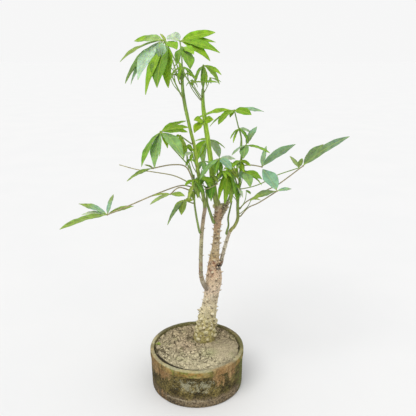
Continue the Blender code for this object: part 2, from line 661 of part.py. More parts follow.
def leaflet(hub, spec, wave_start):
    """A folded, arched leaflet with waved edges, split into triangles alike on both faces."""
    heading, droop, length, width, turn = spec
    length *= MM
    width *= MM
    flat = math.cos(math.radians(droop))
    way = Vector((
        math.cos(math.radians(heading)) * flat,
        math.sin(math.radians(heading)) * flat,
        -math.sin(math.radians(droop)),
    ))
    up = (Vector((0, 0, 1)) - way * way.z).normalized()
    front = way.cross(up)
    if front.y > 0:
        front = -front
    start = hub
    tip = hub + way * length
    arch = BLADE_ARCH + DROOP_ARCH * max(0.0, math.sin(math.radians(droop)))
    bend = hub + way * length * 0.5 + up * length * arch * 2
    face = up * math.cos(math.radians(turn)) + front * math.sin(math.radians(turn))
    stations = MIDDLE_STATIONS
    if length > LONG_LEAFLET:
        stations = LONG_STATIONS
    if length < SHORT_LEAFLET:
        stations = SHORT_STATIONS
    verts = []
    for t in stations:
        point = start * (1 - t) ** 2 + bend * 2 * t * (1 - t) + tip * t ** 2
        along = ((bend - start) * (1 - t) + (tip - bend) * t).normalized()
        normal = (face - along * face.dot(along)).normalized()
        side = along.cross(normal)
        half = blade_half_width(t, width)
        rise = BLADE_FOLD * half
        wave = BLADE_WAVE * width * math.sin(math.pi * t) * math.sin(9 * t + wave_start)
        edges = [point + side * half + normal * (rise + wave), point, point - side * half
                 + normal * (rise - wave)]
        verts += [p + normal * BLADE_THICKNESS / 2 for p in edges]
        verts += [p - normal * BLADE_THICKNESS / 2 for p in reversed(edges)]
    return verts, blade_faces(len(stations))


def blade_faces(rings):
    """Triangles of a strip with six points round it, with the same diagonals above and below."""
    faces = [(0, k, k + 1) for k in range(1, 5)]
    for ring in range(rings - 1):
        a = ring * 6
        b = a + 6
        for k in range(6):
            n = (k + 1) % 6
            if k in (1, 3, 5):
                faces += [(a + k, b + k, a + n), (a + n, b + k, b + n)]
            else:
                faces += [(a + k, b + k, b + n), (a + k, b + n, a + n)]
    end = (rings - 1) * 6
    faces += [(end, end + k + 1, end + k) for k in range(1, 5)]
    return faces


def make_leaf(name, stems, spec, material, index):
    """A stalk that ends in a small knob, with the leaflets fused into the knob."""
    stem, height, stalk, leaflets = spec
    longest = max(row[2] for row in leaflets) * MM
    radius = STALK_RADIUS if longest > LONG_LEAFLET else SMALL_STALK_RADIUS
    hub = Vector(stalk[-1])
    start, way = seat_on(stems[stem], height, stalk[0])
    knots = [(*start, radius * FOOT_FLARE), (*(start + way * FOOT_LENGTH), radius * NECK_FLARE)]
    knots += [(*p, radius) for p in stalk]
    route = smooth_route(knots, STALK_STEP)
    end_way = (hub - Vector(route[-2][:3])).normalized()
    route[-1] = (*(hub - end_way * HUB_REACH), radius)
    route.append((*(hub + end_way * HUB_REACH), HUB_RADIUS))
    shapes = [tube(route, STALK_SIDES, way)]
    shapes += [leaflet(hub, row, 1.3 * i + index) for i, row in enumerate(leaflets)]
    return fuse(name, shapes, material)


def main():
    clear_scene()
    clay = make_material("fired_clay", (0.30, 0.22, 0.12), 0.85)
    earth = make_material("soil", (0.42, 0.37, 0.28), 0.95)
    bark = make_material("spiny_bark", (0.38, 0.31, 0.20), 0.85)
    green_stem = make_material("green_stem", (0.27, 0.42, 0.07), 0.5)
    green_leaf = make_material("leaf", (0.18, 0.38, 0.06), 0.45)
    make_pan(clay)
    make_soil(earth)
    limbs = limb_routes()
    stems = dict(limbs, stub=smooth_route(STUB, STUB_STEP))
    for name, spec in THIN_STEMS.items():
        route, way = thin_stem_route(stems, spec)
        stems[name] = route
        stem = object_from(name, *tube(route, THIN_SIDES, way), green_stem)
        stem.data.shade_smooth()
    seats = [seat_on(stems[row[0]], row[1], row[2][0])[0] for row in THIN_STEMS.values()]
    seats += [seat_on(stems[row[0]], row[1], row[2][0])[0] for row in LEAVES.values()]
    make_trunk(limbs, stems["stub"], seats, bark)
    for limb, route in limbs.items():
        make_shoot(f"shoot_{limb}", limb, route, green_stem)
    for index, (name, spec) in enumerate(LEAVES.items()):
        make_leaf(name, stems, spec, green_leaf, index)


main()
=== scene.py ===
"""A silk cotton tree bonsai in its clay pan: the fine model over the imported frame.

Metres, +Z up, the origin under the middle of the pan, -Y to the front. Every piece stands for the
CAD node of its name and keeps that node's middle lines and joints, with a finer skin. Headings are in
degrees seen from above: 0 right, 90 back, 180 left, 270 front. Tones are linear colours.
"""

import math
import random

import bmesh
import bpy
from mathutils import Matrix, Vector, noise
from mathutils.kdtree import KDTree


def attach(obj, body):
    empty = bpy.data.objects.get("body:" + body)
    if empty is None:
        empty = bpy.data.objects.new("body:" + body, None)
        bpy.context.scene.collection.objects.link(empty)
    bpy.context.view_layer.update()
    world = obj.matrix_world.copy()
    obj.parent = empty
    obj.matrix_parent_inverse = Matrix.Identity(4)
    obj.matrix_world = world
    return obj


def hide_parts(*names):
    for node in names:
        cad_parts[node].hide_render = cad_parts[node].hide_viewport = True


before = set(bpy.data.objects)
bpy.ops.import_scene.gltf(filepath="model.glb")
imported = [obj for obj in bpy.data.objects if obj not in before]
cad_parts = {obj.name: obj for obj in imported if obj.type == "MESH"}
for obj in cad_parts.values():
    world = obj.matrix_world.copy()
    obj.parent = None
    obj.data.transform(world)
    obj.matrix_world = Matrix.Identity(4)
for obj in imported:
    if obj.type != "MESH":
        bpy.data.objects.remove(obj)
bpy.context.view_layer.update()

MM = 0.001

# Camera
CAMERA_AT = (0.027, -1.080, 0.780)
CAMERA_PITCH = 17.0           # degrees below level
FOCAL_PIXELS = 500.0
IMAGE_PIXELS = 416.0
SENSOR = 36.0

# Light
SURROUND = (0.925, 0.925, 0.925, 1.0)
DAYLIGHT = (0.985, 0.992, 1.0, 1.0)
AMBIENT = 0.79
SUNS = [                      # name, way that the light goes, spread in degrees, power
    ("key", (0.45, 0.55, -1.0), 36.0, 1.30),
    ("fill", (-0.6, 0.2, -1.0), 60.0, 0.25),
]
FLOOR_REACH = 60.0

# Clay pan
PAN_RADIUS = 0.115
PAN_WALL_RADIUS = 0.1135
PAN_FOOT_RADIUS = 0.112
PAN_HEIGHT = 0.098
PAN_COLLAR = 0.016
PAN_WALL = 0.010
PAN_FLOOR = 0.012
PAN_CORNER = 0.0035
PAN_SIDES = 240
PAN_STEP = 0.0016             # distance between rings on the pan's skin
PAN_COARSER = 5               # the same under the foot and inside, in steps
COARSE_WITHIN = 0.104         # the radius within which the skin is that coarse
INNER_FINE_FROM = 0.080       # the height above which the inside of the wall is fine
INNER_RADIUS = PAN_RADIUS - PAN_WALL
COLLAR_FOOT = PAN_HEIGHT - PAN_COLLAR
SHARP_EDGE = 50
DRAIN_HOLES = 3
DRAIN_RADIUS = 0.006
DRAIN_RING = 0.050
DRAIN_SIDES = 32
DRAIN_OVERRUN = 0.02
RIM_BEVEL = 0.002
RIM_BEVEL_DEPTH = 0.003

# Distances along the wall from the right, where its painted shade changes (the wall is painted darker away
# from the front), and where the lime line starts and ends
CLAY_DARK_TO = 0.460          # the end of the dark left side
CLAY_PALE_FROM = 0.520
FOOT_PALE_FROM = 0.570
CLAY_DARK_AGAIN = (0.7225, 0.690)
LIME_LINE_FROM = (0.440, 0.470)
LIME_LINE_TO = (0.600, 0.540)

# Stains on the pan, as (weight, heading, degrees to either side)
BACK_AT = (90, 80)
MOSS_AT = [(0.95, 345, 40), (0.70, 184, 26), (0.60, *BACK_AT)]
LOW_MOSS_AT = (0.55, 312, 34)
RED_TONGUES = [(0.95, 300, 0.040, 0.058), (0.95, 317, 0.054, 0.070)]   # weight, heading, foot, full height
RED_LEFT = 208
RED_RIGHT_AT = (0.55, 304, 30)
RED_FOOT_AT = (0.80, 222, 24)
RED_BACK = 0.45
LICHEN_AT = 269
RIM_MOSS_AT = 250
RIM_WORN_AT = 303

# Soil
SOIL_TOP = 0.0925
SOIL_SHOULDER = 0.004
SOIL_SHOULDER_DROP = 0.007
SOIL_SINK = 0.0012
SOIL_RELIEF = 0.0010
DOME_AT = (0.055, -0.005)
DOME_HEIGHT = 0.0016
DOME_RADIUS = 0.030
SMOOTH_AT = (0.064, -0.006)
SMOOTH_REACH = (0.040, 0.052)
SWIRL_AT = (0.061, 0.035)
SWIRL_REACH = 0.055
SWIRL_HEIGHT = 0.0009
CLOD_SCALE = 72.0
CRACK_DEPTH = 0.0022
FINE_CRACK_DEPTH = 0.0010
PIT_DEPTH = 0.0014
BANK_HEIGHT = 0.0022          # the earth lies higher against the back wall
SHRUNK_DROP = 0.0010          # how far the dark gap at the front is sunk
SOIL_SIDES = 520
SOIL_RINGS = 104
SOIL_HOLE_OVERLAP = 0.0012    # how far the soil reaches into the trunk's foot
CRUMBS = 480
CRUMBS_REACH = 0.100
CRUMBS_WITHIN = 0.090         # no crumbs lie in the dark gap at the front beyond this radius
CRUMBS_OFF_TRUNK = 0.030
CRUMB_SIZES = (0.0006, 0.0021)
WEED_AT = (-0.097, 0.010, 0.0905)
WEED_LEAVES = 9
SOIL_TONES = {
    "back": (0.530, 0.430, 0.268),
    "front": (0.625, 0.550, 0.355),
    "left": (0.540, 0.460, 0.290),
    "smooth_back": (0.325, 0.268, 0.165),
    "smooth_front": (0.480, 0.408, 0.268),
    "green": (0.380, 0.400, 0.185),
    "pink": (0.600, 0.430, 0.300),
    # painted shade in the soil's cracks, pits and hollows
    "crack": (0.062, 0.048, 0.024),
    # painted shade in the gap against the wall and in the cracks beside it
    "gap": (0.030, 0.024, 0.014),
    "below": (0.200, 0.160, 0.100),
}

# Trunk and stems
TRUNK_FOOT = (0.019, 0.045)
ROOT_PLUG_BOTTOM = 0.050
ROOT_PLUG_TOP = 0.080
FINE_STEP = 0.003
BARK_STEP = 0.0018
TRUNK_SIDES = 88
BRANCH_SIDES = 28
SHOOT_SIDES = 20
THIN_SIDES = 14
STALK_SIDES = 10
STRIPES = 5                   # painted highlight stripes along a green stem, with painted shade between them
KNOT_AT = (0.054, 0.030, 0.293)   # the black joint of the right limb
KNOT_REACH = 0.0125
KNOT_TONE = (0.014, 0.011, 0.010)
SCAR_TONE = (0.300, 0.135, 0.075)
# The painted shadow under each thorn and knob: its tone and how far it reaches
THORN_SHADOW = (0.105, 0.070, 0.042)
THORN_SHADOW_REACH = 0.0025
SPINE_HEIGHT = 0.0050
SPINE_RADIUS = 0.0031
SPINE_SUNK = 0.0016
SPINE_LEAN = 0.12
SPINE_TOP_CLEAR = 0.006
SPINE_LEVELS = (0.0, 0.22, 0.45, 0.7, 0.9)
SMALL_SPINE_SIZES = (0.50, 0.85)
SMALL_SPINES_LOWER = 0.006    # how much lower down the small ones start
SMALL_SPINE_TURN = 1.1
SMALL_SPINES_BARE = 0.06      # no small spines grow where the noise is above this
STUB_SPINES = (9, 0.434, (0.8, 1.15))          # how many, from which height, and their sizes
STUB_SMALL_SPINES = (27, 0.420, (0.45, 0.8))
STUB_SPINE_TURN = 0.7
TRUNK_KNOBS = (44, 0.090, 0.150, 0.0068)       # how many, from and to which height, and how large
STUB_KNOBS = (16, 0.432, 0.454, 0.0034)
KNOB_SUNK = 0.0020
KNOB_TONE = (0.700, 0.660, 0.350)
KNOB_THORNINESS = 0.45        # how much a knob takes a thorn's painted highlight above, painted shade below and dark tip
GOLDEN_ANGLE = math.radians(137.5)
SEAT_CLEARANCE = 0.009
FOOT_LENGTH = 0.003
GAP = 0.0003
STALK_SUNK = 0.0008           # how far a fine stalk starts inside its stem
SHOOT_SUNK = 0.0005

# Leaves
BLADE_THICKNESS = 0.0008
BLADE_FOLD = 0.24
BLADE_ARCH = 0.040
DROOP_ARCH = 0.080
BLADE_WAVE = 0.07
BLADE_RIPPLE = 0.0004
BLADE_ROOT = 0.0009
ROOT_SHARE = 0.07
ROOT_BULGE = 0.0005
MIDRIB_DEPTH = 0.00032
MIDRIB_WIDTH = 0.0011
BLADE_TIP = 0.0005
LONG_LEAFLET = 0.045
STALK_RADIUS = 0.0014
SMALL_STALK_RADIUS = 0.0012
SPROUT_RADIUS = 0.0009
SPROUT_BEND = 0.12
HUB_RADIUS = 0.0021
HUB_REACH = 0.0014
ACROSS = 6                    # parts of a blade from its midrib to an edge
STATION_STEP = 0.0028         # distance between rings along a blade
VEIN_STEP = 0.0062            # distance between side veins
LEAF_SHEEN_HAZE = 0.030            # share of the even pale haze over the green, a painted sheen

# Limbs: points of the middle line with the radius there, from the foot up, and the tones by height.
# Each limb is wood up to its wood_top height and green above it. The middle limb is the trunk itself.
LIMBS = {
    "middle": {
        "wood_top": 0.450, "spines_from": 0.112, "spine_sizes": (0.65, 1.45),
        "spines": 90, "small_spines": 153,
        "points": [(0.019, 0.045, 0.094, 0.0275), (0.022, 0.045, 0.126, 0.0235),
            (0.025, 0.045, 0.145, 0.0215), (0.028, 0.045, 0.168, 0.0200), (0.033, 0.044, 0.197, 0.0178),
            (0.037, 0.042, 0.225, 0.0182), (0.041, 0.041, 0.250, 0.0200), (0.042, 0.040, 0.274, 0.0175),
            (0.041, 0.038, 0.295, 0.0140), (0.043, 0.036, 0.320, 0.0108), (0.046, 0.033, 0.350, 0.0086),
            (0.048, 0.030, 0.385, 0.0078), (0.050, 0.027, 0.415, 0.0090), (0.051, 0.025, 0.435, 0.0092),
            (0.049, 0.024, 0.450, 0.0078), (0.043, 0.022, 0.474, 0.0066), (0.039, 0.021, 0.500, 0.0066),
            (0.036, 0.020, 0.526, 0.0062), (0.033, 0.018, 0.556, 0.0056), (0.029, 0.017, 0.585, 0.0056),
            (0.025, 0.016, 0.612, 0.0055), (0.021, 0.015, 0.640, 0.0053), (0.017, 0.015, 0.671, 0.0044),
            (0.016, 0.015, 0.692, 0.0038), (0.016, 0.016, 0.709, 0.0032)],
        "bark": [(0.095, (0.456, 0.391, 0.143)), (0.120, (0.564, 0.483, 0.198)),
            (0.142, (0.624, 0.540, 0.264)), (0.165, (0.732, 0.644, 0.385)),
            (0.210, (0.756, 0.627, 0.429)), (0.231, (0.828, 0.655, 0.484)),
            (0.253, (0.772, 0.602, 0.402)), (0.275, (0.759, 0.552, 0.366)),
            (0.300, (0.667, 0.463, 0.282)), (0.317, (0.608, 0.451, 0.234)),
            (0.338, (0.628, 0.495, 0.288)), (0.380, (0.628, 0.451, 0.255)),
            (0.400, (0.562, 0.376, 0.228)), (0.440, (0.522, 0.354, 0.217)),
            (0.455, (0.372, 0.333, 0.154))],
        "green": [(0.450, (0.281, 0.292, 0.077)), (0.475, (0.216, 0.308, 0.045)),
            (0.500, (0.275, 0.432, 0.032)), (0.560, (0.324, 0.508, 0.031)),
            (0.650, (0.308, 0.508, 0.031)), (0.709, (0.238, 0.432, 0.036))],
    },
    "left": {
        "wood_top": 0.452, "spines_from": 0.262, "spine_sizes": (0.50, 0.85),
        "spines": 14, "small_spines": 11,
        "points": [(0.031, 0.040, 0.228, 0.0080), (0.019, 0.024, 0.246, 0.0062),
            (0.011, 0.013, 0.275, 0.0050), (0.010, 0.008, 0.314, 0.0046), (0.011, 0.006, 0.353, 0.0045),
            (0.013, 0.004, 0.391, 0.0044), (0.017, 0.002, 0.428, 0.0043), (0.020, 0.000, 0.452, 0.0043),
            (0.016, -0.002, 0.481, 0.0042), (0.009, -0.004, 0.512, 0.0041),
            (0.003, -0.006, 0.550, 0.0038), (-0.002, -0.009, 0.590, 0.0036),
            (-0.009, -0.010, 0.620, 0.0036), (-0.016, -0.010, 0.652, 0.0036),
            (-0.022, -0.010, 0.682, 0.0038), (-0.026, -0.010, 0.715, 0.0034),
            (-0.026, -0.010, 0.748, 0.0024)],
        "bark": [(0.235, (0.370, 0.302, 0.234)), (0.252, (0.410, 0.349, 0.259)),
            (0.275, (0.439, 0.396, 0.258)), (0.360, (0.481, 0.454, 0.262)),
            (0.405, (0.511, 0.414, 0.267)), (0.452, (0.444, 0.330, 0.236))],
        "green": [(0.452, (0.258, 0.313, 0.080)), (0.520, (0.297, 0.421, 0.060)),
            (0.580, (0.336, 0.464, 0.045)), (0.640, (0.286, 0.443, 0.050)),
            (0.685, (0.218, 0.335, 0.060)), (0.748, (0.168, 0.292, 0.045))],
    },
    "right": {
        "wood_top": 0.374, "spines_from": 0.304, "spine_sizes": (0.55, 0.95),
        "spines": 10, "small_spines": 8,
        "points": [(0.045, 0.041, 0.283, 0.0070), (0.057, 0.048, 0.293, 0.0056),
            (0.063, 0.052, 0.315, 0.0046), (0.071, 0.055, 0.346, 0.0043), (0.080, 0.056, 0.374, 0.0042),
            (0.091, 0.056, 0.388, 0.0041), (0.098, 0.054, 0.408, 0.0038), (0.097, 0.051, 0.437, 0.0036),
            (0.098, 0.050, 0.465, 0.0035), (0.101, 0.050, 0.503, 0.0033), (0.103, 0.050, 0.540, 0.0030),
            (0.105, 0.050, 0.575, 0.0024)],
        "bark": [(0.290, (0.134, 0.122, 0.097)), (0.298, (0.324, 0.283, 0.212)),
            (0.306, (0.624, 0.568, 0.419)), (0.345, (0.724, 0.669, 0.504)),
            (0.374, (0.649, 0.555, 0.394))],
        "green": [(0.374, (0.336, 0.325, 0.096)), (0.410, (0.258, 0.325, 0.068)),
            (0.460, (0.185, 0.302, 0.048)), (0.500, (0.241, 0.414, 0.034)),
            (0.575, (0.224, 0.392, 0.034))],
    },
}

# The short spiny stub beside the fork, as points with the radius, and its tones by height.
STUB = [(0.052, 0.026, 0.418, 0.0080), (0.064, 0.030, 0.440, 0.0068), (0.073, 0.034, 0.457, 0.0056)]
STUB_BARK = [(0.418, (0.430, 0.340, 0.210)), (0.457, (0.460, 0.430, 0.240))]

# Thin stems: what each grows from, the height of that joint, its points, and its radius at foot and tip.
THIN_STEMS = {
    "shoot_inner": ("middle", 0.408, [(0.029, 0.012, 0.444), (0.025, 0.012, 0.460), (0.024, 0.013, 0.482)],
                    0.0034, 0.0024),
    "shoot_side": ("left", 0.391, [(0.003, -0.009, 0.420), (-0.001, -0.013, 0.447), (-0.003, -0.014, 0.468),
                                   (-0.003, -0.013, 0.500), (-0.004, -0.010, 0.528)], 0.0026, 0.0018),
    "twig_bare": ("shoot_side", 0.508, [(-0.044, -0.030, 0.531), (-0.085, -0.050, 0.544),
                                        (-0.121, -0.060, 0.552), (-0.156, -0.065, 0.563)], 0.0013, 0.0009),
    "shoot_fork": ("right", 0.366, [(0.076, 0.056, 0.388), (0.075, 0.054, 0.408), (0.079, 0.053, 0.430),
                                    (0.083, 0.053, 0.450)], 0.0026, 0.0018),
    "shoot_stub": ("stub", 0.457, [(0.078, 0.036, 0.470), (0.082, 0.037, 0.486)], 0.0024, 0.0016),
}

# Leaf tones. Two names joined by > are a leaflet's root and tip. A leaflet's tone also holds its painted
# light and shade, and the pale and bluish ones (pale, mist, washed, frost, blue) are painted sky sheen.
TONES = {
    "lime": (0.300, 0.480, 0.006),
    "fresh": (0.232, 0.420, 0.012),
    "bright": (0.185, 0.355, 0.004),
    "mid": (0.146, 0.302, 0.020),
    "deep": (0.092, 0.235, 0.011),
    "dark": (0.062, 0.175, 0.013),
    "pale": (0.320, 0.480, 0.150),
    "mist": (0.300, 0.455, 0.265),
    "washed": (0.510, 0.610, 0.420),
    "frost": (0.435, 0.590, 0.425),
    "blue": (0.226, 0.385, 0.240),
    "soft": (0.235, 0.405, 0.130),
    "olive": (0.212, 0.312, 0.048),
    "sage": (0.165, 0.255, 0.100),
    "slate": (0.170, 0.270, 0.165),
    "dusty": (0.245, 0.322, 0.115),
    "yellow": (0.350, 0.440, 0.080),
}

# Leaves: the stem each grows from, the height of that joint, the tones of its leaflets, the points its
# stalk passes up to the hub, and its leaflets. A leaflet is its heading, the droop of its tip below the
# hub in degrees, its length and width in mm, and the turn of its upper face to the front in degrees.
LEAVES = {
    "leaf_crown_left": (
        "left", 0.723, "pale>fresh olive frost washed",
        [(-0.046, -0.020, 0.771), (-0.062, -0.020, 0.809)],
        [(153, 1, 72, 24, 40), (214, 23, 106, 24, 0), (233, 44, 108, 37, 0), (245, 50, 88, 24, 5)]),
    "leaf_crown_back": (
        "left", 0.738, "pale mist pale fresh yellow",
        [(-0.043, 0.020, 0.770), (-0.063, 0.045, 0.807)],
        [(173, 43, 128, 24, -25), (168, 47, 122, 24, 45), (141, 34, 72, 22, -10), (307, 21, 45, 26, 15),
         (131, -41, 26, 8, 15)]),
    "leaf_crown_front": (
        "left", 0.696, "mid bright fresh",
        [(-0.046, -0.045, 0.742), (-0.053, -0.068, 0.769), (-0.054, -0.075, 0.797)],
        [(261, 45, 104, 36, -20), (246, 47, 118, 20, -10), (278, 55, 92, 30, 40)]),
    "leaf_crown_top": (
        "left", 0.743, "fresh bright bright bright washed",
        [(-0.028, 0.015, 0.776), (-0.032, 0.030, 0.808)],
        [(24, -13, 84, 21, 60), (19, 1, 80, 15, 40), (340, 15, 92, 21, 40), (332, 29, 82, 21, 35),
         (127, -14, 50, 28, 30)]),
    "leaf_crown_middle": (
        "middle", 0.690, "mid mid fresh",
        [(0.000, -0.005, 0.710), (-0.023, -0.030, 0.749), (-0.025, -0.035, 0.795)],
        [(289, 37, 68, 32, -20), (261, 39, 50, 24, -35), (306, 18, 44, 20, 20)]),
    "leaf_tip_left": (
        "left", 0.748, "mid bright fresh",
        [(-0.026, -0.010, 0.757)],
        [(335, 38, 34, 8, 35), (242, 62, 32, 8, 15), (173, 37, 30, 7, 40)]),
    "leaf_tip_middle": (
        "middle", 0.709, "mid mid lime fresh fresh",
        [(0.017, 0.024, 0.733), (0.017, 0.030, 0.759)],
        [(242, 44, 52, 12, -15), (271, 55, 60, 15, 45), (80, 51, 58, 10, 25), (37, 43, 60, 13, -15),
         (325, 22, 50, 11, 30)]),
    "leaf_young_upper": (
        "middle", 0.696, "olive mid",
        [(0.016, -0.022, 0.727)],
        [(196, 4, 31, 6, 35), (345, 0, 32, 6, 50)]),
    "leaf_young_middle": (
        "middle", 0.643, "lime lime lime",
        [(0.018, -0.012, 0.646)],
        [(232, 34, 38, 20, 10), (230, -9, 32, 17, 50), (310, -11, 32, 17, 70)]),
    "leaf_upper_back": (
        "middle", 0.568, "fresh pale fresh washed mid",
        [(0.032, 0.045, 0.581), (0.027, 0.055, 0.596)],
        [(168, 63, 62, 26, 65), (197, 84, 66, 16, 40), (154, 10, 34, 8, 30), (33, 55, 55, 22, -35),
         (22, 28, 48, 6, 50)]),
    "leaf_middle_right": (
        "middle", 0.500, "blue washed soft mid",
        [(0.048, 0.012, 0.528), (0.052, 0.000, 0.563)],
        [(307, 22, 45, 20, 20), (29, 7, 42, 12, 40), (226, 31, 72, 16, 5), (254, 42, 44, 12, -5)]),
    "leaf_right_high": (
        "right", 0.573, "lime fresh fresh fresh bright blue",
        [(0.102, 0.053, 0.600), (0.096, 0.056, 0.624), (0.086, 0.055, 0.662)],
        [(176, 14, 92, 27, 10), (225, 28, 58, 26, 0), (185, 33, 66, 6, 25), (238, 36, 24, 10, 15),
         (319, 8, 48, 22, 40), (13, 4, 70, 16, 25)]),
    "leaf_right_middle": (
        "right", 0.566, "mid fresh deep mist",
        [(0.103, 0.040, 0.597), (0.097, 0.035, 0.624)],
        [(226, 33, 36, 7, 0), (239, 45, 40, 8, -15), (300, 38, 46, 11, -5), (26, 21, 32, 9, 50)]),
    "leaf_right_round": (
        "right", 0.557, "mist soft mid sage>blue",
        [(0.111, 0.020, 0.589)],
        [(221, 22, 46, 12, -5), (257, 37, 40, 22, -15), (324, 10, 62, 12, 15), (51, -41, 56, 18, 0)]),
    "leaf_right_outer": (
        "right", 0.538, "blue mist",
        [(0.127, 0.040, 0.540), (0.149, 0.030, 0.538)],
        [(331, -37, 96, 24, -45), (66, -56, 52, 14, -15)]),
    "leaf_right_low": (
        "right", 0.414, "blue sage>olive blue",
        [(0.121, 0.035, 0.440), (0.143, 0.015, 0.458), (0.180, -0.010, 0.492)],
        [(123, -37, 66, 34, 15), (202, 13, 68, 20, 15), (25, -1, 38, 10, 35)]),
    "leaf_far_right": (
        "right", 0.434, "sage>slate sage",
        [(0.120, 0.052, 0.451), (0.164, 0.050, 0.478), (0.191, 0.048, 0.493), (0.244, 0.040, 0.538)],
        [(332, -37, 124, 24, 50), (24, -41, 70, 24, 20)]),
    "leaf_far_right_small": (
        "right", 0.481, "dusty olive",
        [(0.130, 0.062, 0.483), (0.156, 0.065, 0.492), (0.184, 0.060, 0.510), (0.231, 0.020, 0.538)],
        [(123, -34, 38, 10, 25), (282, -56, 30, 12, -10)]),
    "leaf_right_inner": (
        "right", 0.514, "fresh soft fresh",
        [(0.108, 0.020, 0.527)],
        [(23, 23, 52, 20, 40), (289, 34, 44, 24, -5), (24, 36, 58, 7, 55)]),
    "leaf_stem_right": (
        "right", 0.547, "fresh pale lime bright",
        [(0.100, 0.028, 0.553)],
        [(229, 20, 34, 14, 10), (251, 32, 30, 11, -20), (312, 14, 32, 12, 20), (282, 37, 34, 10, -5)]),
    "leaf_left_middle": (
        "shoot_side", 0.524, "mid soft lime lime soft bright fresh bright",
        [(-0.014, -0.022, 0.550), (-0.031, -0.035, 0.574), (-0.052, -0.048, 0.602),
         (-0.070, -0.055, 0.630)],
        [(243, 39, 94, 22, -20), (263, 44, 90, 27, -30), (270, 49, 58, 8, 65), (296, 38, 46, 14, -15),
         (312, 31, 84, 28, 10), (37, -15, 66, 16, 20), (32, 5, 64, 22, 30), (325, -11, 74, 16, 35)]),
    "leaf_left_inner": (
        "left", 0.599, "lime bright lime",
        [(-0.031, -0.030, 0.618)],
        [(78, 69, 58, 18, 20), (266, 42, 38, 12, 55), (232, 4, 14, 8, 35)]),
    "leaf_left_small": (
        "shoot_side", 0.526, "bright bright",
        [(-0.013, 0.008, 0.545), (-0.019, 0.010, 0.567), (-0.021, 0.005, 0.590)],
        [(312, 2, 20, 10, 45), (307, 27, 26, 7, 10)]),
    "leaf_left_trailing": (
        "shoot_side", 0.516, "olive olive",
        [(-0.020, -0.035, 0.552), (-0.048, -0.055, 0.561), (-0.086, -0.070, 0.557)],
        [(226, 13, 70, 12, 10), (224, -25, 24, 6, 45)]),
    "leaf_left_low": (
        "shoot_side", 0.492, "olive dusty yellow",
        [(-0.033, -0.055, 0.512), (-0.051, -0.075, 0.503)],
        [(324, -3, 38, 13, 35), (222, 13, 54, 10, 25), (159, 12, 44, 6, 35)]),
    "leaf_far_left": (
        "shoot_side", 0.502, "olive washed blue>olive blue>dusty olive",
        [(-0.034, -0.020, 0.507), (-0.082, -0.050, 0.497), (-0.132, -0.080, 0.482),
         (-0.180, -0.100, 0.466)],
        [(234, -1, 120, 22, 10), (159, 7, 64, 14, 20), (151, -9, 78, 18, 10), (83, -33, 56, 14, -25),
         (46, -3, 68, 12, 25)]),
    "leaf_left_droop": (
        "shoot_side", 0.466, "olive olive sage yellow",
        [(-0.024, -0.030, 0.477)],
        [(261, 33, 42, 20, -15), (165, 40, 34, 7, 50), (234, 35, 72, 11, 0), (352, -1, 18, 11, 45)]),
    "leaf_centre_left": (
        "shoot_side", 0.484, "yellow olive deep",
        [(-0.001, -0.030, 0.517)],
        [(249, 39, 46, 12, -20), (284, 36, 40, 15, -15), (303, 29, 40, 12, -5)]),
    "leaf_centre_dark": (
        "middle", 0.496, "deep fresh",
        [(0.040, -0.008, 0.509)],
        [(259, 44, 46, 15, -25), (215, -28, 36, 14, 75)]),
    "leaf_centre_right": (
        "right", 0.476, "fresh mist lime bright olive deep",
        [(0.090, 0.035, 0.506), (0.074, 0.020, 0.532)],
        [(221, 11, 32, 6, 20), (225, 23, 46, 14, 15), (236, 56, 72, 16, -15), (259, 48, 84, 24, 50),
         (278, 66, 74, 16, -20), (288, 50, 66, 12, -20)]),
    "leaf_centre_low": (
        "right", 0.466, "deep washed deep",
        [(0.095, 0.030, 0.489)],
        [(260, 36, 34, 15, 50), (298, 39, 28, 10, -10), (239, 20, 34, 13, 10)]),
    "leaf_centre_back": (
        "middle", 0.491, "mid mid fresh mid",
        [(0.024, 0.045, 0.509)],
        [(222, 11, 44, 14, 30), (234, 29, 40, 12, 5), (282, 43, 36, 12, -25), (125, 5, 40, 9, 15)]),
    "leaf_centre_high": (
        "right", 0.491, "lime fresh yellow fresh",
        [(0.084, 0.066, 0.528)],
        [(238, 28, 38, 15, 35), (262, 42, 40, 18, 10), (291, 31, 38, 15, 25), (128, 18, 36, 10, 45)]),
    "leaf_left_fork": (
        "left", 0.548, "washed fresh",
        [(-0.007, -0.022, 0.580)],
        [(237, 2, 30, 9, 35), (266, 33, 28, 9, -25)]),
}

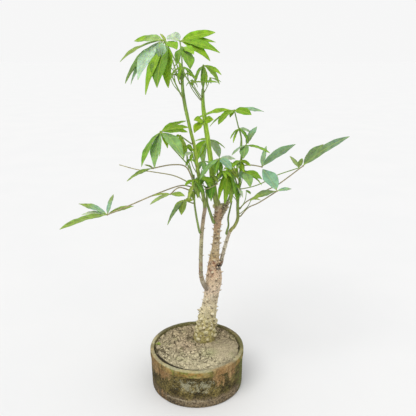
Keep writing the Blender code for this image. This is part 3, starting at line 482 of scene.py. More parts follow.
# Young leaves that only this model has, by place. A row is the stem, the height of the joint, the hub, the
# number of leaflets, their middle heading and spread, the droop, the length and width in mm and the tone.
SPROUTS = {
    "crown": [
        ("left", 0.700, (-0.044, 0.000, 0.742), 3, 250, 160, 35, 22, 5, "fresh"),
        ("left", 0.712, (-0.032, 0.004, 0.750), 2, 120, 150, 30, 20, 5, "mid"),
        ("left", 0.728, (-0.023, 0.006, 0.756), 4, 290, 240, 50, 28, 6, "mid"),
        ("left", 0.705, (-0.052, -0.006, 0.737), 2, 200, 90, 15, 17, 4, "olive"),
        ("left", 0.735, (-0.045, -0.010, 0.770), 2, 190, 80, 20, 18, 5, "olive"),
        ("left", 0.740, (-0.033, 0.000, 0.766), 3, 300, 200, 55, 24, 6, "fresh"),
        ("middle", 0.688, (-0.017, 0.000, 0.744), 3, 310, 130, 35, 28, 7, "fresh"),
        ("middle", 0.696, (-0.006, -0.012, 0.731), 3, 280, 190, 45, 22, 5, "mid"),
        ("middle", 0.704, (0.031, -0.006, 0.735), 3, 330, 100, 20, 24, 5, "deep"),
        ("left", 0.730, (-0.064, -0.100, 0.803), 2, 305, 40, 64, 40, 20, "mist"),
    ],
    "centre": [
        ("left", 0.504, (0.005, -0.012, 0.522), 4, 250, 210, 40, 24, 9, "deep"),
        ("middle", 0.488, (0.020, -0.008, 0.517), 4, 260, 220, 35, 26, 10, "mid"),
        ("shoot_side", 0.492, (-0.006, -0.024, 0.521), 4, 240, 240, 35, 24, 9, "fresh"),
        ("left", 0.522, (0.016, 0.030, 0.552), 3, 290, 150, 45, 34, 13, "soft"),
        ("shoot_side", 0.520, (-0.018, -0.012, 0.593), 4, 230, 220, 30, 24, 9, "bright"),
        ("left", 0.535, (-0.010, -0.022, 0.567), 3, 220, 190, 40, 22, 8, "mid"),
        ("middle", 0.540, (0.047, 0.012, 0.560), 3, 285, 110, 62, 38, 12, "mid"),
        ("middle", 0.508, (0.058, -0.004, 0.536), 4, 330, 190, 30, 28, 10, "fresh"),
        ("right", 0.512, (0.077, 0.035, 0.548), 3, 250, 170, 45, 24, 8, "mid"),
        ("right", 0.498, (0.095, 0.030, 0.538), 3, 340, 170, 25, 24, 8, "fresh"),
        ("right", 0.484, (0.107, 0.036, 0.527), 3, 320, 130, 40, 34, 13, "blue"),
        ("shoot_stub", 0.478, (0.078, 0.034, 0.492), 4, 265, 240, 45, 26, 9, "bright"),
        ("right", 0.448, (0.092, 0.036, 0.487), 3, 275, 160, 60, 28, 10, "mid"),
        ("shoot_side", 0.458, (-0.004, -0.024, 0.494), 4, 230, 210, 45, 24, 9, "olive"),
        ("middle", 0.474, (0.031, -0.004, 0.507), 3, 262, 100, 68, 36, 12, "dark"),
        ("right", 0.456, (0.066, 0.024, 0.514), 5, 255, 230, 50, 32, 11, "bright"),
        ("left", 0.478, (0.014, 0.000, 0.503), 4, 290, 220, 50, 22, 8, "lime"),
        ("shoot_fork", 0.446, (0.083, 0.044, 0.499), 4, 300, 240, 40, 24, 8, "fresh"),
        ("left", 0.466, (0.005, -0.020, 0.502), 3, 270, 180, 60, 22, 8, "yellow"),
        ("middle", 0.500, (0.038, -0.002, 0.524), 3, 300, 170, 40, 24, 9, "olive"),
        ("right", 0.421, (0.127, 0.030, 0.462), 2, 10, 60, 5, 26, 8, "yellow"),
        ("right", 0.432, (0.116, 0.040, 0.480), 2, 350, 80, 25, 20, 7, "mid"),
        ("shoot_side", 0.494, (0.047, -0.072, 0.524), 0, 0, 0, 0, 0, 0, "mid"),
    ],
}

# Tones of the thin stems by height, and of the leaf stalks.
THIN_GREEN = [(0.380, (0.200, 0.280, 0.065)), (0.530, (0.230, 0.350, 0.060))]
TWIG_BROWN = [(0.500, (0.330, 0.300, 0.130)), (0.570, (0.400, 0.370, 0.190))]
STALK_GREEN = (0.230, 0.350, 0.070)
STALK_FOOT = (0.250, 0.270, 0.080)
STALK_BROWN = (0.330, 0.280, 0.150)
BROWN_STALKS = ["leaf_far_left", "leaf_left_trailing", "leaf_left_low", "leaf_far_right", "leaf_right_low",
                "leaf_right_outer"]


# Small helpers

def mixed(a, b, t):
    return tuple(p + (q - p) * t for p, q in zip(a, b))


def scaled(tone, factor):
    return tuple(c * factor for c in tone)


def tone_at(stops, height):
    """The colour at a height, between the stops on either side of it."""
    if height <= stops[0][0]:
        return stops[0][1]
    for (low, first), (high, second) in zip(stops, stops[1:]):
        if height <= high:
            return mixed(first, second, (height - low) / (high - low))
    return stops[-1][1]


def smooth_step(low, high, value):
    t = min(1.0, max(0.0, (value - low) / (high - low)))
    return t * t * (3 - 2 * t)


def near(value, middle, reach):
    """1 at the middle, falling to 0 at reach on either side of it."""
    return max(0.0, 1 - abs(value - middle) / reach)


def beside(degrees, heading, reach):
    """1 at a heading, falling to 0 at reach degrees to either side, all the way round."""
    return near((degrees - heading + 180) % 360, 180, reach)


def rough(point, scale, octaves=3):
    """Smooth noise from about -1 to 1 at a place, with its pattern about 1 / scale metres across."""
    return noise.fractal(Vector(point) * scale, 1.0, 2.0, octaves)


def polar(reach, angle):
    return reach * math.cos(angle), reach * math.sin(angle)


def turned(side, across, angle):
    """The way between two square ones at an angle from the first."""
    return side * math.cos(angle) + across * math.sin(angle)


def ring_faces(rings, sides, flipped=False):
    """Four-sided faces between rings of points that follow one another."""
    faces = []
    for start in range(0, (rings - 1) * sides, sides):
        for k in range(sides):
            a = start + k
            b = start + (k + 1) % sides
            faces.append((a, a + sides, b + sides, b) if flipped else (a, b, b + sides, a + sides))
    return faces


def closed_faces(rings, sides, flipped=False):
    """The same with a face over each end."""
    last = (rings - 1) * sides
    caps = [tuple(range(sides))[::-1], tuple(range(last, last + sides))]
    if flipped:
        caps = [cap[::-1] for cap in caps]
    return [caps[0], *ring_faces(rings, sides, flipped), caps[1]]


def new_object(name, data):
    obj = bpy.data.objects.new(name, data)
    bpy.context.scene.collection.objects.link(obj)
    return obj


class Shape:
    """Vertices and faces of one piece, with a tint and a measure vector on every vertex."""

    def __init__(self):
        self.verts = []
        self.faces = []
        self.slots = []
        self.tints = []
        self.measures = []

    def add(self, verts, faces, tints, measures, slot=0):
        start = len(self.verts)
        self.verts += verts
        self.faces += [tuple(start + i for i in face) for face in faces]
        self.slots += [slot] * len(faces)
        self.tints += tints
        self.measures += measures

    def build(self, name, materials):
        mesh = bpy.data.meshes.new(name)
        mesh.from_pydata([tuple(v) for v in self.verts], [], self.faces)
        tint = mesh.color_attributes.new("tint", "FLOAT_COLOR", "POINT")
        tint.data.foreach_set("color", [c for t in self.tints for c in t])
        measure = mesh.attributes.new("measure", "FLOAT_VECTOR", "POINT")
        measure.data.foreach_set("vector", [c for m in self.measures for c in m])
        for material in materials:
            mesh.materials.append(material)
        mesh.polygons.foreach_set("material_index", self.slots)
        mesh.shade_smooth()
        return new_object(name, mesh)


def hand_over(piece, node):
    """The piece stands for its CAD node and rides on the one body."""
    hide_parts(node)
    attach(piece, "root")


def add_extra(piece):
    """A piece that only the fine model has, on the same body."""
    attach(piece, "root")


# Routes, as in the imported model

def curve_point(a, b, c, d, t):
    return tuple(
        0.5 * (2 * q + (r - p) * t + (2 * p - 5 * q + 4 * r - s) * t ** 2 + (3 * q - p - 3 * r + s) * t ** 3)
        for p, q, r, s in zip(a, b, c, d)
    )


def smooth_route(points, step):
    """Points about a step apart on a smooth curve through the given ones, with any radius they carry."""
    ends = [points[0], *points, points[-1]]
    route = []
    for a, b, c, d in zip(ends, ends[1:], ends[2:], ends[3:]):
        parts = max(1, round((Vector(c[:3]) - Vector(b[:3])).length / step))
        route += [curve_point(a, b, c, d, i / parts) for i in range(parts)]
    return route + [tuple(points[-1])]


def cut_route(route, height):
    """The route below and above a height, both holding the point on it."""
    for i, (low, high) in enumerate(zip(route, route[1:])):
        if low[2] <= height <= high[2]:
            middle = mixed(low, high, (height - low[2]) / (high[2] - low[2]))
            return route[:i + 1] + [middle], [middle] + route[i + 1:]
    return route, []


def point_at(route, height):
    """Middle, radius and direction of a route at a height."""
    for low, high in zip(route, route[1:]):
        if low[2] <= height <= high[2]:
            break
    t = min(1.0, max(0.0, (height - low[2]) / (high[2] - low[2])))
    middle = Vector(low[:3]).lerp(Vector(high[:3]), t)
    radius = low[3] + (high[3] - low[3]) * t
    return middle, radius, (Vector(high[:3]) - Vector(low[:3])).normalized()


def seat_on(route, height, target):
    """Where a stalk stands on a stem, and the way it sets off."""
    middle, radius, along = point_at(route, height)
    if height >= route[-1][2] - 1e-6:
        return Vector(route[-1][:3]) + along * GAP, along
    out = Vector(target) - middle
    out = (out - along * out.dot(along)).normalized()
    return middle + out * (radius + GAP), out


def stalk_foot(stems, stem, height, target, foot, above):
    """The first two points of a stalk that starts a little inside its stem, and the way it sets off."""
    start, way = seat_on(stems[stem], height, target)
    start -= way * STALK_SUNK
    return [(*start, foot), (*(start + way * FOOT_LENGTH), above)], way


def route_to_hub(knots, hub, radius, knob):
    """A stalk's route up to the knob where its leaflets meet."""
    route = smooth_route(knots, FINE_STEP)
    end_way = (hub - Vector(route[-2][:3])).normalized()
    route[-1] = (*(hub - end_way * HUB_REACH), radius * 1.1)
    return route + [(*hub, knob)]


def ways_along(points):
    last = len(points) - 1
    return [(points[min(i + 1, last)] - points[max(i - 1, 0)]).normalized() for i in range(len(points))]


def tube(route, sides, first_way=None, last_way=None, swell=None, round_top=False):
    """A closed tube along a route: its vertices, faces, and each vertex's measures, which are the distance
    along, the distance round and the share of the rings below it."""
    points = [Vector(p[:3]) for p in route]
    radii = [p[3] for p in route]
    ways = ways_along(points)
    if first_way:
        ways[0] = first_way
    if last_way:
        ways[-1] = last_way
    if round_top:
        end = points[-1]
        reach = radii[-1]
        for share in (0.45, 0.8, 0.97):
            points.append(end + ways[-1] * reach * share)
            radii.append(reach * math.sqrt(1 - share ** 2))
            ways.append(ways[-1])
    side = ways[0].orthogonal()
    verts = []
    measures = []
    length = 0.0
    for i, (point, way) in enumerate(zip(points, ways)):
        if i:
            length += (point - points[i - 1]).length
        side = (side - way * side.dot(way)).normalized()
        across = way.cross(side)
        for k in range(sides):
            angle = math.tau * k / sides
            out = turned(side, across, angle)
            radius = radii[i]
            if swell:
                radius *= 1 + swell(point + out * radius)
            verts.append(point + out * radius)
            measures.append((length, angle * radii[i], i / (len(points) - 1)))
    return verts, closed_faces(len(points), sides), measures


# Leaves

def blade_half_width(t, width):
    """Half width of a leaflet at t along it: a slim root, widest near the middle, a drawn-out tip."""
    if t <= ROOT_SHARE:
        return BLADE_ROOT
    share = (t - ROOT_SHARE) / (1 - ROOT_SHARE)
    swell = max(0.0, math.sin(math.pi * share ** 0.85)) ** 0.9
    return BLADE_ROOT * (1 - share) + BLADE_TIP * share + (width / 2 - BLADE_ROOT) * swell


def shaded(name, shade, warm=1.0):
    """The root and tip tones of a leaflet, a little lighter or darker and warmer or cooler."""
    ends = name.split(">")
    factors = (shade * warm, shade, shade / warm)
    return [tuple(c * f for c, f in zip(TONES[end], factors)) for end in (ends[0], ends[-1])]


def heading_way(heading, droop):
    flat = math.cos(math.radians(droop))
    turn = math.radians(heading)
    return Vector((math.cos(turn) * flat, math.sin(turn) * flat, -math.sin(math.radians(droop))))


def add_leaflet(shape, hub, spec, wave_start, tone, draw):
    """A folded, arched leaflet with a raised midrib below, waved edges and thin margins."""
    heading, droop, length, width, turn = spec
    length *= MM
    width *= MM
    way = heading_way(heading, droop)
    up = (Vector((0, 0, 1)) - way * way.z).normalized()
    front = way.cross(up)
    if front.y > 0:
        front = -front
    tip = hub + way * length
    arch = BLADE_ARCH + DROOP_ARCH * max(0.0, math.sin(math.radians(droop)))
    bend = hub + way * length * 0.5 + up * length * arch * 2
    face = turned(up, front, math.radians(turn))
    stations = max(14, round(length / STATION_STEP))
    ripple = draw.uniform(0.0, 6.0)
    shares = [k / ACROSS for k in range(-ACROSS, ACROSS + 1)]
    verts = []
    tints = []
    measures = []
    for i in range(stations + 1):
        t = i / stations
        point = hub * (1 - t) ** 2 + bend * 2 * t * (1 - t) + tip * t ** 2
        along = ((bend - hub) * (1 - t) + (tip - bend) * t).normalized()
        normal = (face - along * face.dot(along)).normalized()
        side = along.cross(normal)
        half = blade_half_width(t, width)
        stalk = 1 - smooth_step(ROOT_SHARE, ROOT_SHARE + 0.05, t)
        wave = BLADE_WAVE * width * math.sin(math.pi * t) * math.sin(9 * t + wave_start)
        upper = []
        lower = []
        for s in shares:
            rise = BLADE_FOLD * half * abs(s) ** 1.15 + wave * s * abs(s)
            rise += BLADE_RIPPLE * abs(s) ** 3 * math.sin(31 * t + ripple + s) * math.sin(math.pi * t)
            middle = point + side * half * s + normal * rise
            thick = 0.5 * BLADE_THICKNESS * (1 - 0.62 * abs(s) ** 1.5)
            rib = MIDRIB_DEPTH * max(0.0, 1 - abs(s) * half / MIDRIB_WIDTH) * (1 - 0.6 * t)
            bulge = ROOT_BULGE * stalk * (1 - s * s)
            upper.append(middle + normal * (thick + bulge))
            lower.append(middle - normal * (thick + rib + bulge))
        verts += upper + lower[::-1]
        ring = [(t * length, s * half, abs(s)) for s in shares]
        measures += ring + ring[::-1]
        blade = mixed(tone[0], tone[1], smooth_step(0.40, 0.75, t))
        base = mixed(blade, STALK_GREEN, stalk)
        tints += [(*base, 0.0)] * len(shares) + [(*base, 1.0)] * len(shares)
    shape.add(verts, closed_faces(stations + 1, 2 * len(shares), True), tints, measures, 0)


def stalk_swell(point):
    return 0.05 * rough(point, 260, 2)


def add_stalk(shape, route, way, tone=STALK_GREEN):
    """A leaf's stalk with a swollen foot and a small round knob where the leaflets meet."""
    verts, faces, measures = tube(route, STALK_SIDES, way, swell=stalk_swell, round_top=True)
    tints = [(*mixed(STALK_FOOT, tone, smooth_step(0.0, 0.02, along)), 0.0) for along, _, _ in measures]
    shape.add(verts, faces, tints, measures, 1)


def make_leaf(name, stems, spec, materials, index):
    stem, height, tones, stalk, leaflets = spec
    draw = random.Random(100 + index)
    longest = max(row[2] for row in leaflets) * MM
    radius = STALK_RADIUS if longest > LONG_LEAFLET else SMALL_STALK_RADIUS
    hub = Vector(stalk[-1])
    knots, way = stalk_foot(stems, stem, height, stalk[0], radius * 1.5, radius * 1.12)
    knots += [(*p, radius) for p in stalk]
    shape = Shape()
    route = route_to_hub(knots, hub, radius, HUB_RADIUS)
    add_stalk(shape, route, way, STALK_BROWN if name in BROWN_STALKS else STALK_GREEN)
    for i, (row, tone) in enumerate(zip(leaflets, tones.split())):
        ends = shaded(tone, draw.uniform(0.9, 1.1), draw.uniform(0.94, 1.06))
        add_leaflet(shape, hub, row, 1.3 * i + index, ends, draw)
    hand_over(shape.build(name + "_fine", materials), name)


def add_sprout(shape, stems, row, index):
    """A young leaf: a thin stalk off a stem, and a few leaflets fanned out from its end."""
    stem, height, hub, count, heading, spread, droop, length, width, tone = row
    draw = random.Random(300 + index)
    hub = Vector(hub)
    knots, way = stalk_foot(stems, stem, height, hub, SPROUT_RADIUS * 1.5, SPROUT_RADIUS * 1.1)
    start = Vector(knots[0][:3])
    middle = start.lerp(hub, 0.5) + way * SPROUT_BEND * (hub - start).length
    knots += [(*middle, SPROUT_RADIUS), (*hub, SPROUT_RADIUS)]
    route = route_to_hub(knots, hub, SPROUT_RADIUS, SPROUT_RADIUS * 1.5)
    add_stalk(shape, route, way, STALK_GREEN if count else STALK_BROWN)
    for i in range(count):
        share = i / (count - 1) - 0.5
        shade = draw.uniform(0.82, 1.18)
        size = (1 - 0.3 * abs(share)) * draw.uniform(0.85, 1.1)
        spec = (
            heading + spread * share + draw.uniform(-12, 12),
            droop + draw.uniform(-14, 14),
            length * size,
            width * size,
            draw.uniform(-15, 45),
        )
        add_leaflet(shape, hub, spec, 1.7 * i + index, shaded(tone, shade), draw)


def make_sprouts(stems, materials):
    for place, rows in SPROUTS.items():
        shape = Shape()
        for index, row in enumerate(rows):
            add_sprout(shape, stems, row, index)
        add_extra(shape.build("young_leaves_" + place, materials))


def make_weed(materials):
    """A tiny green rosette that came up at the soil's left edge."""
    draw = random.Random(3)
    shape = Shape()
    hub = Vector(WEED_AT)
    for i in range(WEED_LEAVES):
        heading = 360 * i / WEED_LEAVES + draw.uniform(-12, 12)
        spec = (heading, -draw.uniform(5, 45), draw.uniform(5, 11), draw.uniform(2.0, 3.4), 20)
        tone = shaded(draw.choice(["olive", "dusty", "yellow"]), 0.72, 1.15)
        add_leaflet(shape, hub, spec, i, tone, draw)
    add_extra(shape.build("weed", materials))


# Wood and stems

def bark_swell(point):
    """Uneven bark: broad and small lumps, wrinkles round the stem and a fine grain."""
    x, y, z = point
    lumps = 0.045 * rough(point, 45, 2) + 0.035 * rough(point, 130, 2)
    wrinkles = 0.022 * rough((x * 0.35, y * 0.35, z), 320, 2)
    flare = 0.090 * smooth_step(0.118, 0.096, z) * rough((x, y, 0.3), 62, 2)
    return lumps + wrinkles + flare + 0.014 * rough(point, 600, 2)


def branch_swell(point):
    return 0.05 * rough(point, 110, 3)


def green_swell(point):
    return 0.045 * rough(point, 120, 2) + 0.060 * rough((0.0, 0.0, point.z), 55, 2)


def spine_shape(foot, way, down, height, radius, turn, blunt=False):
    """A thorn with a wide flared foot and a slightly bent point, or a blunt knob."""
    side = way.orthogonal().normalized()
    across = way.cross(side)
    sides = 12 if blunt else 8
    bend = turned(side, across, turn) * height * 0.10
    verts = []
    measures = []
    for level in SPINE_LEVELS:
        taper = (1 - level ** 2.2) ** 0.6 if blunt else (1 - level) ** 1.25
        middle = foot + way * height * level + bend * level ** 2
        for k in range(sides):
            angle = turn + math.tau * k / sides
            out = turned(side, across, angle)
            lump = 1 + 0.10 * math.sin(3 * angle + 5 * turn)
            verts.append(middle + out * (radius * taper + 0.00012) * lump)
            # how far each point faces down, which the bark reads for the thorns' painted highlight and shade
            measures.append((out.dot(down), 0.0, level))
    verts.append(foot + way * height + bend)
    measures.append((0.0, 0.0, 1.0))
    top = (len(SPINE_LEVELS) - 1) * sides
    faces = closed_faces(len(SPINE_LEVELS), sides)[:-1]
    faces += [(top + k, top + (k + 1) % sides, len(verts) - 1) for k in range(sides)]
    return verts, faces, measures


def add_spines(shape, marks, route, stops, spines, seats, draw, shift=0.0, bare=1.0):
    """Thorns wound round a stem by the golden angle, with a little seeded scatter, and none where noise is
    above bare. marks gets the place of the painted shadow under each."""
    count, low, sizes = spines
    top = route[-1][2] - SPINE_TOP_CLEAR
    for i in range(count):
        height = low + (top - low) * (i + draw.uniform(0.2, 0.8)) / count
        middle, radius, along = point_at(route, height)
        side = along.orthogonal().normalized()
        out = turned(side, along.cross(side), i * GOLDEN_ANGLE + shift + draw.uniform(-0.4, 0.4))
        size = draw.uniform(*sizes) * (1 + 0.45 * smooth_step(0.24, 0.18, height))
        turn = draw.uniform(0.0, 1.5)
        foot = middle + out * (radius - SPINE_SUNK)
        if rough(foot, 52, 2) > bare:
            continue
        if any((foot - seat).length < SEAT_CLEARANCE * min(1.0, size) for seat in seats):
            continue
        way = (out + along * SPINE_LEAN).normalized()
        tall = SPINE_HEIGHT * size + SPINE_SUNK
        verts, faces, measures = spine_shape(foot, way, -along, tall, SPINE_RADIUS * size, turn)
        shape.add(verts, faces, [(*tone_at(stops, height), 1.0)] * len(verts), measures)
        # the place of the painted shadow under this thorn
        marks.append(middle + out * radius - along * 0.0030 * size)


def add_knobs(shape, marks, route, stops, knobs, draw):
    """Blunt pale knobs crowded on a stem."""
    count, low, high, size = knobs
    for i in range(count):
        height = low + (high - low) * (i + draw.uniform(0.1, 0.9)) / count
        middle, radius, along = point_at(route, height)
        side = along.orthogonal().normalized()
        out = turned(side, along.cross(side), i * GOLDEN_ANGLE + draw.uniform(-0.5, 0.5))
        reach = size * draw.uniform(0.60, 1.0)
        foot = middle + out * (radius - KNOB_SUNK)
        tone = mixed(tone_at(stops, height), KNOB_TONE, draw.uniform(0.1, 0.9))
        turn = draw.uniform(0.0, 1.5)
        tall = KNOB_SUNK + reach * draw.uniform(0.60, 1.05)
        verts, faces, measures = spine_shape(foot, out, -along, tall, reach, turn, True)
        shape.add(verts, faces, [(*tone, KNOB_THORNINESS)] * len(verts), measures)
        # the place of the painted shadow under this knob
        marks.append(middle + out * radius - along * reach * 0.9)


def bark_tint(stops, point, thorn_shadows):
    """The bark's tone: a painted shadow under each thorn and knob, and black round the right limb's joint."""
    # painted shadow under the nearest thorns and knobs
    under_shade = 0.0
    for _, _, off in thorn_shadows.find_range(point, 0.006):
        under_shade = max(under_shade, 0.88 * math.exp(-(off / THORN_SHADOW_REACH) ** 2))
    tone = mixed(tone_at(stops, point.z), THORN_SHADOW, under_shade)
    scar = smooth_step(0.263, 0.274, point.z) * smooth_step(0.322, 0.304, point.z)
    scar *= smooth_step(0.02, 0.30, rough((point.x, point.y, 1.6 * point.z), 95, 2))
    tone = mixed(tone, SCAR_TONE, 0.85 * scar)
    from_knot = (point - Vector(KNOT_AT)).length / KNOT_REACH + 0.30 * rough(point, 240, 2)
    return (*mixed(tone, KNOT_TONE, 1 - smooth_step(0.55, 1.0, from_knot)), 0.0)


def add_limb(shape, route, sides, stops, thorn_shadows, swell, first_way=None, last_way=None):
    verts, faces, measures = tube(route, sides, first_way, last_way, swell)
    shape.add(verts, faces, [bark_tint(stops, v, thorn_shadows) for v in verts], measures)


# The places of the painted shadows under the thorns and knobs, for a quick search
def thorn_shadows_under(marks):
    thorn_shadows = KDTree(len(marks))
    for i, mark in enumerate(marks):
        thorn_shadows.insert(mark, i)
    thorn_shadows.balance()
    return thorn_shadows


def make_trunk(limbs, stub, seats, material):
    """The trunk and both branches up to the green, with the stub, the thorns and the knobs, as one piece."""
    draw = random.Random(11)
    fine_draw = random.Random(23)
    shape = Shape()
    marks = []
    woods = {name: cut_route(route, LIMBS[name]["wood_top"])[0] for name, route in limbs.items()}
    for name, wood in woods.items():
        limb = LIMBS[name]
        low = limb["spines_from"]
        large = (limb["spines"], low, limb["spine_sizes"])
        small = (limb["small_spines"], low - SMALL_SPINES_LOWER, SMALL_SPINE_SIZES)
        add_spines(shape, marks, wood, limb["bark"], large, seats, draw)
        add_spines(shape, marks, wood, limb["bark"], small, seats, fine_draw,
                   SMALL_SPINE_TURN, SMALL_SPINES_BARE)
    add_spines(shape, marks, stub, STUB_BARK, STUB_SPINES, seats, draw)
    add_spines(shape, marks, stub, STUB_BARK, STUB_SMALL_SPINES, seats, fine_draw, STUB_SPINE_TURN)
    add_knobs(shape, marks, woods["middle"], LIMBS["middle"]["bark"], TRUNK_KNOBS, fine_draw)
    add_knobs(shape, marks, stub, STUB_BARK, STUB_KNOBS, fine_draw)
    # the painted shadows under the thorns and knobs
    thorn_shadows = thorn_shadows_under(marks)
    for name, wood in woods.items():
        limb = LIMBS[name]
        top_way = point_at(limbs[name], limb["wood_top"])[2]
        if name == "middle":
            plug = [(*TRUNK_FOOT, height, wood[0][3]) for height in (ROOT_PLUG_BOTTOM, ROOT_PLUG_TOP)]
            up = Vector((0, 0, 1))
            add_limb(shape, plug + wood, TRUNK_SIDES, limb["bark"], thorn_shadows, bark_swell, up, top_way)
        else:
            add_limb(shape, wood, BRANCH_SIDES, limb["bark"], thorn_shadows, branch_swell, None, top_way)
    add_limb(shape, stub, BRANCH_SIDES, STUB_BARK, thorn_shadows, branch_swell)
    hand_over(shape.build("trunk_fine", [material]), "trunk")


def make_stem(node, route, way, stops, sides, material):
    """A green or dry stem with painted highlight stripes along it, and painted shade between them."""
    verts, faces, measures = tube(route, sides, way, swell=green_swell, round_top=True)
    tints = []
    for i, vert in enumerate(verts):
        # painted highlight and shade in stripes round the stem
        stripe = 1 + 0.26 * math.cos(STRIPES * math.tau * (i % sides) / sides)
        tints.append((*scaled(tone_at(stops, vert.z), stripe), 0.0))
    shape = Shape()
    shape.add(verts, faces, tints, measures)
    hand_over(shape.build(node + "_fine", [material]), node)


def make_shoot(limb, route, material):
    """A limb's green top, which starts a little inside its wood."""
    wood_top = LIMBS[limb]["wood_top"]
    green = cut_route(route, wood_top)[1]
    way = point_at(route, wood_top)[2]
    green[0] = (*(Vector(green[0][:3]) - way * SHOOT_SUNK), green[0][3])
    make_stem("shoot_" + limb, green, way, LIMBS[limb]["green"], SHOOT_SIDES, material)


def thin_stem_route(stems, spec):
    parent, height, points, foot, tip = spec
    knots, way = stalk_foot(stems, parent, height, points[0], foot * 1.1, foot)
    knots += [(*p, foot + (tip - foot) * (i + 1) / len(points)) for i, p in enumerate(points)]
    return smooth_route(knots, FINE_STEP), way


# Pan

def pan_profile():
    """The pan's section, from under its middle out, up the wall and down the inside to the floor."""
    corner = [
        (PAN_FOOT_RADIUS - PAN_CORNER * (1 - math.sin(a)), PAN_CORNER * (1 - math.cos(a)))
        for a in (0.0, math.pi / 8, math.pi / 4, 3 * math.pi / 8, math.pi / 2)
    ]
    return [
        (0.0, 0.0),
        *corner,
        (PAN_WALL_RADIUS, COLLAR_FOOT - RIM_BEVEL),
        (PAN_RADIUS, COLLAR_FOOT),
        (PAN_RADIUS, PAN_HEIGHT - RIM_BEVEL_DEPTH),
        (PAN_RADIUS - 0.3 * RIM_BEVEL, PAN_HEIGHT - 0.3 * RIM_BEVEL_DEPTH),
        (PAN_RADIUS - RIM_BEVEL, PAN_HEIGHT),
        (INNER_RADIUS + RIM_BEVEL, PAN_HEIGHT),
        (INNER_RADIUS + 0.3 * RIM_BEVEL, PAN_HEIGHT - 0.3 * RIM_BEVEL_DEPTH),
        (INNER_RADIUS, PAN_HEIGHT - RIM_BEVEL_DEPTH),
        (INNER_RADIUS, PAN_FLOOR),
        (0.0, PAN_FLOOR),
    ]


def fine_profile(profile, step):
    """The same section with points about a step apart, coarser under the foot and inside."""
    points = [profile[0]]
    for a, b in zip(profile, profile[1:]):
        inner = a[0] < INNER_RADIUS + 0.001 and b[1] < INNER_FINE_FROM
        wide = PAN_COARSER if inner or a[0] < COARSE_WITHIN else 1
        parts = max(1, round(math.dist(a, b) / (step * wide)))
        points += [mixed(a, b, i / parts) for i in range(1, parts + 1)]
    return points


def pan_worn(angle, radius, height):
    """How far the hand-made clay lies inside its true circle at a place."""
    x, y = polar(radius, angle)
    worn = 0.00045 * (1 + rough((x, y, height), 28, 2))
    worn += 0.00022 * (1 + rough((x, y, height), 260, 3))
    if radius > PAN_WALL_RADIUS - 0.0005 and COLLAR_FOOT - 0.004 < height < COLLAR_FOOT + 0.006:
        chip = rough((x, y, 0.0), 60, 3) + 0.6 * smooth_step(-1.0, -0.2, angle) * smooth_step(1.0, 0.2, angle)
        worn += 0.0016 * smooth_step(0.15, 0.5, chip + 0.25 * rough((x, y, height), 200, 2))
    return worn


def moss_weight(degrees, height):
    weight, heading, reach = LOW_MOSS_AT
    low = weight * beside(degrees, heading, reach)
    low *= smooth_step(0.062, 0.040, height) * smooth_step(0.012, 0.030, height)
    return max(low, *(weight * beside(degrees, heading, reach) for weight, heading, reach in MOSS_AT))


def red_right_weight(degrees, height):
    """Two tongues of bare clay below the collar, and a worn patch round them."""
    weight, heading, reach = RED_RIGHT_AT
    red = weight * beside(degrees, heading, reach) * smooth_step(0.040, 0.066, height)
    for weight, heading, foot, full in RED_TONGUES:
        tongue = smooth_step(10, 4, abs(degrees - heading)) * smooth_step(foot, full, height)
        red = max(red, weight * tongue)
    return red


def pan_tint(angle, radius, height):
    """Weights that the clay material reads: moss, bare red clay and pale lichen, with the weight of the rim's
    tone and of the painted highlight on its top as alpha."""
    x, y = polar(radius, angle)
    degrees = math.degrees(angle) % 360
    spread = 0.28 * rough((x, y, height), 45, 3)
    front = smooth_step(140, 176, degrees) * smooth_step(359, 342, degrees)
    red_left = smooth_step(40, 18, abs(degrees - RED_LEFT)) * smooth_step(0.048, 0.074, height)
    streaks = 0.30 * rough((x * 3, y * 3, height * 0.5), 60, 2)
    red_right = red_right_weight(degrees, height) * (1 + streaks)
    weight, heading, reach = RED_FOOT_AT
    red_foot = weight * beside(degrees, heading, reach) * smooth_step(0.034, 0.018, height)
    red_back = RED_BACK * beside(degrees, *BACK_AT)
    rim = smooth_step(COLLAR_FOOT - 0.001, COLLAR_FOOT + 0.002, height)
    patch = smooth_step(9, 5, abs(degrees - RIM_MOSS_AT))
    patch *= smooth_step(PAN_HEIGHT - 0.001, PAN_HEIGHT - 0.005, height)
    below = smooth_step(PAN_HEIGHT, PAN_HEIGHT - 0.004, height)
    outer = smooth_step(PAN_RADIUS - 0.0085, PAN_RADIUS - 0.0045, radius)
    outer *= smooth_step(22, 10, abs(degrees - RIM_WORN_AT))
    moss = moss_weight(degrees, height) + spread + rim * (0.4 * (1 - front) + 0.9 * patch)
    red = max(red_left, red_right, red_foot, red_back) + spread + 0.5 * rim * outer
    band = smooth_step(0.030, 0.048, height) * smooth_step(0.082, 0.068, height)
    lichen = 0.95 * band * smooth_step(46, 10, abs(degrees - LICHEN_AT))
    lichen += 0.6 * rough((x, y, height), 110, 3)
    # weight of the rim's tone, with its painted highlight on top
    pale = rim * (0.30 + 0.70 * front) * (1 - 0.65 * red_left * below) * (1 - 0.75 * outer)
    return (max(0.0, moss), max(0.0, red), max(0.0, lichen), pale)


